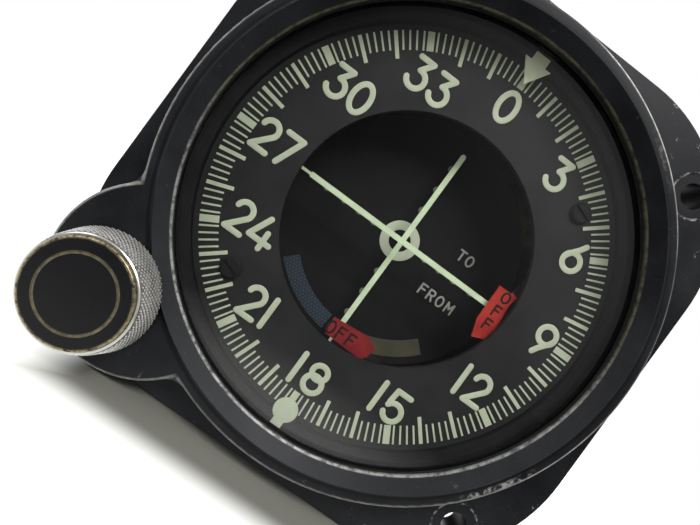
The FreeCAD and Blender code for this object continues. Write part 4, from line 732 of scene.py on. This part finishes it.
def digit_strokes(a, b):
    """The strokes of each digit, centred, with half width a and half height b."""
    bowl = 1.02 * a
    neck = 0.93 * a
    upper = 0.88 * a
    six = [ring_stroke((0, -b + bowl), bowl, 1.0, 30),
           line_stroke((0.5 * a, b), (0.1 * a, 0.6 * b), (-0.45 * a, 0.2 * b), (-0.8 * a, -0.08 * b),
                       (-bowl * 0.985, -0.32 * b))]
    return {
        "0": [ring_stroke((0, 0), a, b / a, 36)],
        "1": [line_stroke((0, -b), (0, b))],
        "2": [line_stroke(*arc((0, b - neck), neck, 168, -32), (-neck, -b + 0.02)),
              line_stroke((-neck, -b), (0.98 * a, -b))],
        "3": [line_stroke((-0.85 * a, b), (0.8 * a, b)),
              line_stroke((0.8 * a, b - 0.01), (-0.12 * a, 0.22 * b)),
              line_stroke(*arc((-0.02 * a, -b + bowl), bowl, 96, -162))],
        "4": [line_stroke((-0.1 * a, b), (-1.25 * a, -0.52 * b)),
              line_stroke((-1.25 * a, -0.53 * b), (1.25 * a, -0.53 * b)),
              line_stroke((0.45 * a, 0.12 * b), (0.45 * a, -b))],
        "5": [line_stroke((0.9 * a, b), (-0.75 * a, b)),
              line_stroke((-0.75 * a, b - 0.01), (-0.88 * a, 0.14 * b)),
              line_stroke(*arc((0.0, -b + bowl), bowl, 150, -158))],
        "6": six,
        "7": [line_stroke((-0.95 * a, b), (0.98 * a, b)),
              line_stroke((0.98 * a, b - 0.01), (-0.38 * a, -b))],
        "8": [ring_stroke((0, b - upper), upper, 0.92, 28), ring_stroke((0, -b + bowl), bowl, 0.96, 30)],
        "9": [([(-x, -z) for x, z in points], closed) for points, closed in six]}


def letter_strokes(a, b):
    """The strokes of each letter that is used, centred, with half width a and half height b."""
    half = 0.5 * b
    loop = [(-0.85 * a, b), (0.2 * a, b)] + arc((0.2 * a, b - half), half, 80, -80, 1.0, 8)
    return {
        "F": [line_stroke((-0.8 * a, -b), (-0.8 * a, b)), line_stroke((-0.8 * a, b), (0.9 * a, b)),
              line_stroke((-0.8 * a, 0.1 * b), (0.6 * a, 0.1 * b))],
        "M": [line_stroke((-a, -b), (-a, b)), line_stroke((-a, b), (0, -0.2 * b)),
              line_stroke((0, -0.2 * b), (a, b)), line_stroke((a, b), (a, -b))],
        "O": [ring_stroke((0, 0), a, b / a, 36)],
        "R": [line_stroke((-0.85 * a, -b), (-0.85 * a, b)), line_stroke(*loop, (-0.85 * a, 0)),
              line_stroke((0.1 * a, 0), (0.85 * a, -b))],
        "T": [line_stroke((-a, b), (a, b)), line_stroke((0, b), (0, -b))]}


def write_signs(mesh_tool, signs, half_width, half_height, width, front, height):
    """Upright signs, each given as (character, x, z) of its middle."""
    alphabet = {**digit_strokes(half_width, half_height), **letter_strokes(half_width, half_height)}
    for character, x, z in signs:
        for points, closed in alphabet[character]:
            moved = [(x + px, z + pz) for px, pz in points]
            stroke(mesh_tool, moved, width, front, height, closed)


def slab(mesh_tool, corners, front, height):
    """A thin raised patch of paint with a slightly smaller top, from its (x, z) corners in order."""
    centre_x = sum(x for x, z in corners) / len(corners)
    centre_z = sum(z for x, z in corners) / len(corners)
    low, high = [], []
    for x, z in corners:
        share = 1 - PAINT_BEVEL / math.hypot(x - centre_x, z - centre_z)
        top_x = centre_x + (x - centre_x) * share
        top_z = centre_z + (z - centre_z) * share
        low.append(corner_at(mesh_tool, x, front, z))
        high.append(corner_at(mesh_tool, top_x, front - height, top_z))
    mesh_tool.faces.new(high)
    count = len(corners)
    for i in range(count):
        j = (i + 1) % count
        mesh_tool.faces.new((low[i], low[j], high[j], high[i]))


def sector(mesh_tool, inner, outer, start, end, front, height, steps=24):
    """A raised ring segment between two angles from +X towards +Z."""
    rows = []
    for i in range(steps + 1):
        angle = math.radians(start + (end - start) * i / steps)
        row = []
        for radius, lift in ((inner, 0), (inner + PAINT_BEVEL, 1), (outer - PAINT_BEVEL, 1), (outer, 0)):
            row.append(corner_at(mesh_tool, radius * math.cos(angle), front - height * lift,
                                 radius * math.sin(angle)))
        rows.append(row)
    for a, b in zip(rows, rows[1:]):
        for j in range(3):
            mesh_tool.faces.new((a[j], a[j + 1], b[j + 1], b[j]))
    for row in (rows[0], rows[-1]):
        mesh_tool.faces.new(row)


def make_ticks(material):
    """The 180 ticks of the azimuth dial, every 2 degrees, as paint on its front."""
    tool = bmesh.new()
    for compass in range(0, 360, TICK_STEP):
        inner, width = TICK_INNER, TICK_WIDTH
        if compass % 30 == 0:
            width = TICK_WIDTH_THIRTY
        elif compass % 10 == 0:
            inner, width = TICK_INNER_TEN, TICK_WIDTH_TEN
        out = Vector((math.sin(math.radians(compass)), math.cos(math.radians(compass))))
        side = Vector((out.y, -out.x)) * width / 2
        corners = [out * inner - side, out * TICK_OUTER - side, out * TICK_OUTER + side, out * inner + side]
        slab(tool, [tuple(corner) for corner in corners], DIAL_FRONT, PAINT_HEIGHT)
    mesh_object("dial_ticks", tool, "case", material)


def make_numbers(material):
    """The dial's numbers, upright all round."""
    tool = bmesh.new()
    for word, (columns, z) in NUMBER_PLACES.items():
        signs = [(character, x, z) for character, x in zip(word, columns)]
        write_signs(tool, signs, NUMBER_HALF_WIDTH, NUMBER_HALF_HEIGHT, NUMBER_STROKE, DIAL_FRONT,
                    PAINT_HEIGHT)
    smooth(mesh_object("dial_numbers", tool, "case", material))


def make_face_ring(material):
    """The ring in the middle of the face."""
    tool = bmesh.new()
    points, closed = ring_stroke((0, 0), (RING_OUTER + RING_INNER) / 2, 1.0, 48)
    stroke(tool, points, RING_OUTER - RING_INNER, FACE_FRONT, PAINT_HEIGHT, closed)
    smooth(mesh_object("face_ring", tool, "case", material))


def make_face_dots(material):
    """The deviation dots of the face."""
    tool = bmesh.new()
    places = [(0, sign * z) for z in VERTICAL_DOTS for sign in (-1, 1)]
    places += [(sign * x, 0) for x in HORIZONTAL_DOTS for sign in (-1, 1)]
    for place in places:
        points, closed = ring_stroke(place, DOT_RADIUS / 2, 1.0, 14)
        stroke(tool, points, DOT_RADIUS, FACE_FRONT, PAINT_HEIGHT, closed)
    smooth(mesh_object("face_dots", tool, "case", material))


def make_sector(name, span, material):
    """One coloured sector at the foot of the face."""
    tool = bmesh.new()
    sector(tool, SECTOR_INNER, SECTOR_OUTER, *span, FACE_FRONT, PAINT_HEIGHT)
    mesh_object(name, tool, "case", material)


def make_window_words(material):
    """TO and FROM on their windows."""
    tool = bmesh.new()
    for word, (columns, z) in (("TO", TO_PLACES), ("FROM", FROM_PLACES)):
        signs = [(character, x, z) for character, x in zip(word, columns)]
        write_signs(tool, signs, WORD_HALF_WIDTH, WORD_HALF_HEIGHT, WORD_STROKE, FACE_FRONT, PAINT_HEIGHT)
    mesh_object("to_from_words", tool, "case", material)


def make_flag_word(flag, signs, letter, material):
    """OFF on a flag, which carries it along."""
    tool = bmesh.new()
    write_signs(tool, signs, *letter, FLAG_STROKE, front_of(flag), PAINT_HEIGHT / 2)
    mesh_object(flag + "_word", tool, flag + "_rotor", material)


def knob_profile():
    """The skirt's outline from the cap's seat to its back, as (radius, y, knurled)."""
    front, back = KNOB_FRONT, KNOB_BACK
    front_radius, back_radius = KNOB_FRONT_RADIUS, KNOB_BACK_RADIUS
    profile = [(CAP_RADIUS + 0.03, front + 0.6, False), (CAP_RADIUS + 0.04, front + 0.03, False),
               (CAP_RADIUS + 0.08, front, False), (front_radius - 0.14, front, False),
               (front_radius, front + 0.1, False), (front_radius, front + 0.3, False),
               (front_radius - 0.1, front + 0.36, False), (front_radius - 0.1, front + 0.42, False),
               (front_radius + 0.02, front + PLAIN_FRONT - 0.06, False)]
    knurl_length = back - front - PLAIN_FRONT - PLAIN_BACK
    for i in range(KNURL_ROWS + 1):
        y = front + PLAIN_FRONT + knurl_length * i / KNURL_ROWS
        radius = front_radius + (back_radius - front_radius) * (y - front) / (back - front)
        profile.append((radius, y, True))
    profile += [(back_radius - 0.12, back - PLAIN_BACK + 0.02, False),
                (back_radius - 0.15, back - 0.1, False), (back_radius - 0.3, back, False),
                (back_radius - 1.6, back, False), (back_radius - 1.65, back - 1.5, False)]
    return profile


def knurl_reach(radius, y, diamonds):
    """The knurled wall's radius at y, a number of diamonds round the knob."""
    along = (y - KNOB_FRONT) / (2 * math.pi * radius / KNURL_COUNT)
    u = abs((diamonds + along) % 1.0 - 0.5) * 2
    v = abs((diamonds - along) % 1.0 - 0.5) * 2
    return radius + KNURL_DEPTH * (min(1 - u, 1 - v) ** KNURL_SHARPNESS - KNURL_MEAN)


def make_knob_skirt(material):
    """The skirt with its diamond knurl, as a turned mesh whose wall rises in small pyramids."""
    tool = bmesh.new()
    grid = []
    for radius, y, knurled in knob_profile():
        row = []
        for column in range(KNURL_COLUMNS):
            angle = 2 * math.pi * column / KNURL_COLUMNS
            diamonds = KNURL_COUNT * column / KNURL_COLUMNS
            reach = knurl_reach(radius, y, diamonds) if knurled else radius
            row.append(corner_at(tool, KNOB_CENTRE[0] + reach * math.cos(angle), y,
                                 KNOB_CENTRE[1] + reach * math.sin(angle)))
        grid.append(row)
    for a, b in zip(grid, grid[1:]):
        for i in range(KNURL_COLUMNS):
            j = (i + 1) % KNURL_COLUMNS
            tool.faces.new((a[i], a[j], b[j], b[i]))
    tool.faces.new(list(reversed(grid[0])))
    tool.faces.new(grid[-1])
    piece = mesh_object("knob_knurled_skirt", tool, "knob", material)
    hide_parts("knob_skirt")


# Stage, lamps and camera


def floor_finish():
    """A floor that is white to the camera apart from a dim patch under the part, a painted shadow that the
    lamps' shadows darken further.
    """
    s = Shader("floor_white")
    x, y, _ = s.axes()
    path = s.add("ShaderNodeLightPath").outputs
    # The floor's own colour is a dim grey, the painted shadow's colour; outside the patch the glow hides it.
    pale = s.blend(s.noise(2.0, 2.0, 0.5), (0.2, 0.198, 0.17), (0.21, 0.208, 0.18))
    mirror_dark = s.product(path["Is Glossy Ray"], s.range(y, *FLOOR_MIRROR_FADE, 1.0, 0.0))
    s.surface(s.blend(mirror_dark, pale, (0.0, 0.0, 0.0)), 0.8, 0.0, Specular_IOR_Level=0.1)
    # The patch without glow is a box round the part: a painted shadow.
    beside = s.step(s.math("ABSOLUTE", x), *FLOOR_SHADOW_SIDE)
    before = s.step(s.product(y, -1.0), *FLOOR_SHADOW_FRONT)
    behind = s.step(y, *FLOOR_SHADOW_BACK)
    through = s.strongest(path["Is Camera Ray"], path["Is Transmission Ray"])
    shown = s.product(through, s.strongest(beside, before, behind))
    mirrored = s.product(path["Is Glossy Ray"], s.range(y, *FLOOR_MIRROR_FADE, DARK_SIDE, 1.0))
    s.link((1.0, 1.0, 0.99), s.bsdf.inputs["Emission Color"])
    s.link(s.strongest(shown, mirrored), s.bsdf.inputs["Emission Strength"])
    return s.material


def make_floor(floor_z):
    """A plain floor at a height in metres."""
    mesh = bpy.data.meshes.new("floor")
    size = FLOOR_HALF
    corners = [(x, y, floor_z) for x, y in ((-size, -size), (size, -size), (size, size), (-size, size))]
    mesh.from_pydata(corners, [], [(0, 1, 2, 3)])
    mesh.materials.append(floor_finish())
    floor = bpy.data.objects.new("floor", mesh)
    bpy.context.scene.collection.objects.link(floor)


def make_room():
    """A white room: even light for the surfaces, white behind the part, dim on the photographer's side."""
    world = bpy.data.worlds.new("room")
    bpy.context.scene.world = world
    world.use_nodes = True
    room = Nodes(world.node_tree)
    even = world.node_tree.nodes["Background"]
    room.link(ROOM_TINT, even.inputs["Color"])
    room.link(ROOM_LEVEL, even.inputs["Strength"])
    towards = room.add("ShaderNodeVectorMath", operation="DOT_PRODUCT")
    room.link(room.add("ShaderNodeTexCoord").outputs["Generated"], towards.inputs[0])
    room.link(BRIGHT_SIDE, towards.inputs[1])
    side = room.range(room.step(towards.outputs["Value"], *BRIGHT_SIDE_FADE), 0.0, 1.0, DARK_SIDE, 1.0)
    path = room.add("ShaderNodeLightPath").outputs
    through = room.strongest(path["Is Camera Ray"], path["Is Transmission Ray"])
    seen = room.add("ShaderNodeBackground")
    room.link((1.0, 1.0, 1.0), seen.inputs["Color"])
    room.link(room.strongest(through, side), seen.inputs["Strength"])
    mix = room.add("ShaderNodeMixShader")
    room.link(room.strongest(through, path["Is Glossy Ray"]), mix.inputs[0])
    room.link(even.outputs[0], mix.inputs[1])
    room.link(seen.outputs[0], mix.inputs[2])
    room.link(mix.outputs[0], world.node_tree.nodes["World Output"].inputs["Surface"])


def area_lamp(name, place, target, side, power):
    """A soft square lamp aimed at a point."""
    data = bpy.data.lights.new(name, "AREA")
    data.size = side
    data.energy = power
    lamp = bpy.data.objects.new(name, data)
    lamp.location = place
    lamp.rotation_mode = "QUATERNION"
    lamp.rotation_quaternion = (Vector(target) - Vector(place)).to_track_quat("-Z", "Y")
    bpy.context.scene.collection.objects.link(lamp)


def make_camera():
    """The photograph's camera: its place, the pixel that the dial's axis meets and its roll."""
    data = bpy.data.cameras.new("photo_camera")
    data.sensor_width = SENSOR_WIDTH
    data.lens = FOCAL_PIXELS / PHOTO_SIZE[0] * SENSOR_WIDTH
    data.clip_start, data.clip_end = CAMERA_CLIP
    camera = bpy.data.objects.new("photo_camera", data)
    bpy.context.scene.collection.objects.link(camera)
    aside = AXIS_PIXEL[0] - PHOTO_SIZE[0] / 2
    below = AXIS_PIXEL[1] - PHOTO_SIZE[1] / 2
    y_axis = Vector((aside, below, FOCAL_PIXELS)).normalized()
    roll = math.radians(CAMERA_ROLL)
    z_axis = Vector((math.sin(roll), -math.cos(roll), 0.0))
    z_axis = (z_axis - y_axis * z_axis.dot(y_axis)).normalized()
    x_axis = y_axis.cross(z_axis)
    right, down, ahead = [Vector((x_axis[i], y_axis[i], z_axis[i])) for i in range(3)]
    turn = Matrix((right, -down, -ahead)).transposed()
    camera.matrix_world = Matrix.Translation(Vector(CAMERA_PLACE) * MM) @ turn.to_4x4()
    bpy.context.scene.camera = camera


# Dressing the part

mint = paint("mint_paint", (0.58, 0.69, 0.46), (0.7, 0.81, 0.56), 0.55)
# The arrow has the number paint made lighter: painted light that makes up for the rim's shadow over it.
arrow_paint_lit = paint("arrow_paint_lit", (0.78, 0.83, 0.62), (0.88, 0.93, 0.72), 0.55)
number_paint = paint("number_paint", (0.47, 0.51, 0.37), (0.55, 0.59, 0.44))
dot_paint = paint("dot_paint", (0.17, 0.2, 0.12), (0.24, 0.27, 0.17))
yellow_paint = paint("sector_yellow", (0.045, 0.041, 0.022), (0.07, 0.063, 0.036))
flag_black = paint("flag_letter_black", (0.01, 0.004, 0.004), (0.02, 0.008, 0.008), gloss=BLACK_GLOSS)
word_paint = paint("word_film", (0.26, 0.27, 0.24), (0.36, 0.36, 0.33), 0.5)
white_paint = paint("vane_white", (0.62, 0.63, 0.6), (0.75, 0.75, 0.72), 0.5)
face_black = paint("face_black", (0.003, 0.003, 0.0035), (0.007, 0.007, 0.0075), 0.62, 0.2, 7.0, BLACK_GLOSS)
ring_black = paint("ring_black", (0.008, 0.008, 0.009), (0.014, 0.014, 0.015), 0.5, gloss=BLACK_GLOSS)
rubber = paint("gasket_rubber", (0.008, 0.008, 0.008), (0.014, 0.014, 0.014), 0.8)
moulding = paint("insert_black", (0.02, 0.02, 0.02), (0.035, 0.035, 0.035), 0.45)
case_enamel = enamel("case_enamel", (0.014, 0.014, 0.016), (0.026, 0.026, 0.029),
                     [(BARREL_RADIUS, BARREL_END)])
cover_enamel = enamel("cover_enamel", (0.014, 0.014, 0.016), (0.024, 0.024, 0.027),
                      [(BARREL_RADIUS - COVER_EDGE, COVER_END), (BARREL_RADIUS, COVER_END - COVER_EDGE)])
black_oxide = plain_metal("black_oxide", (0.02, 0.02, 0.022), (0.045, 0.045, 0.05), (0.35, 0.5))
aluminium = plain_metal("plain_aluminium", (0.45, 0.46, 0.47), (0.66, 0.67, 0.68), (0.3, 0.5))
brass = plain_metal("machined_brass", (0.42, 0.3, 0.13), (0.68, 0.52, 0.26), (0.25, 0.4))
steel = plain_metal("bright_steel", (0.42, 0.42, 0.43), (0.62, 0.62, 0.63), (0.22, 0.38))
screw_steel = plain_metal("screw_steel", (0.2, 0.2, 0.2), (0.42, 0.42, 0.41), (0.3, 0.5))
iron = plain_metal("magnet_iron", (0.14, 0.14, 0.15), (0.26, 0.26, 0.27), (0.45, 0.65))
copper = plain_metal("coil_copper", (0.4, 0.16, 0.07), (0.62, 0.3, 0.16), (0.3, 0.5), 0.15)
olive_plate = plain_metal("olive_chromate", (0.2, 0.2, 0.13), (0.36, 0.35, 0.26), (0.35, 0.55))
gold = plain_metal("pin_gold", (0.62, 0.42, 0.16), (0.88, 0.66, 0.32), (0.18, 0.3))
# The NAV flag has the GS flag's red paint made darker: painted shade.
nav_red_shaded = flag_finish("nav_flag_red_shaded", (0.17, 0.009, 0.011), (0.24, 0.016, 0.018), "nav_flag_shaft",
                      NAV_ARM_REACH)
gs_red = flag_finish("gs_flag_red", (0.34, 0.018, 0.014), (0.45, 0.036, 0.025), "gs_flag_shaft",
                     GS_ARM_REACH)
knurl_nickel = knurl_finish()

FINISHES = (
    (bezel_finish(), ["bezel_housing"]),
    (case_enamel, ["case_barrel", "gear_cover"]),
    (cover_enamel, ["rear_cover"]),
    (glass_finish(), ["cover_glass"]),
    (rubber, ["glass_gasket"]),
    (black_oxide, ["glass_retaining_ring"]),
    (dial_finish(), ["azimuth_dial"]),
    (face_black, ["face_plate", "dial_screws", "word_windows"]),
    (ring_black, ["course_ring_gear"]),
    (arrow_paint_lit, ["course_arrow"]),
    (number_paint, ["reciprocal_marker"]),
    (mint, ["cdi_needle", "gs_needle"]),
    (nav_red_shaded, ["nav_flag"]),
    (gs_red, ["gs_flag"]),
    (white_paint, ["to_from_vane"]),
    (aluminium, ["front_plate", "rear_plate", "course_bearing_sleeve", "meter_brackets", "meter_bridges",
                 "flag_meters", "resolver_clamps"]),
    (brass, ["dial_posts", "face_plate_spacers", "meter_jewel_screws", "knob_bushing", "knob_pinion",
             "idler_gear", "resolver_gear", "meter_nuts"]),
    (steel, ["plate_screws", "pillars", "cover_rods", "knob_shaft", "idler_shaft", "resolver_shaft",
             "nav_flag_shaft", "gs_flag_shaft", "to_from_shaft", "shaft_clip", "course_ring_clip",
             "knob_set_screws", "resolver_body"]),
    (screw_steel, ["sleeve_screws", "gear_cover_screws", "barrel_screws", "rear_screws"]),
    (iron, ["meter_yokes", "meter_cores"]),
    (copper, ["cdi_coil", "gs_coil"]),
    (cap_finish(), ["knob_cap"]),
    (knurl_nickel, ["knob_skirt"]),
    (olive_plate, ["connector_shell"]),
    (moulding, ["connector_insert"]),
    (gold, ["connector_pins"]))
for finish, nodes in FINISHES:
    for node in nodes:
        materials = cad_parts[node].data.materials
        materials.clear()
        materials.append(finish)

make_ticks(number_paint)
make_numbers(number_paint)
make_face_ring(number_paint)
make_face_dots(dot_paint)
make_sector("blue_sector", BLUE_SECTOR, blue_finish())
make_sector("yellow_sector", YELLOW_SECTOR, yellow_paint)
make_window_words(word_paint)
nav_signs = [(character, x, NAV_WORD_PLACES[1]) for character, x in zip("OFF", NAV_WORD_PLACES[0])]
gs_signs = [(character, GS_WORD_PLACES[0], z) for character, z in zip("OFF", GS_WORD_PLACES[1])]
make_flag_word("nav_flag", nav_signs, NAV_LETTER, flag_black)
make_flag_word("gs_flag", gs_signs, GS_LETTER, flag_black)
make_knob_skirt(knurl_nickel)

make_floor(cad_low.z - FLOOR_GAP)
make_room()
for lamp in LAMPS:
    area_lamp(*lamp)
make_camera()
bpy.context.scene.view_settings.view_transform = "Standard"
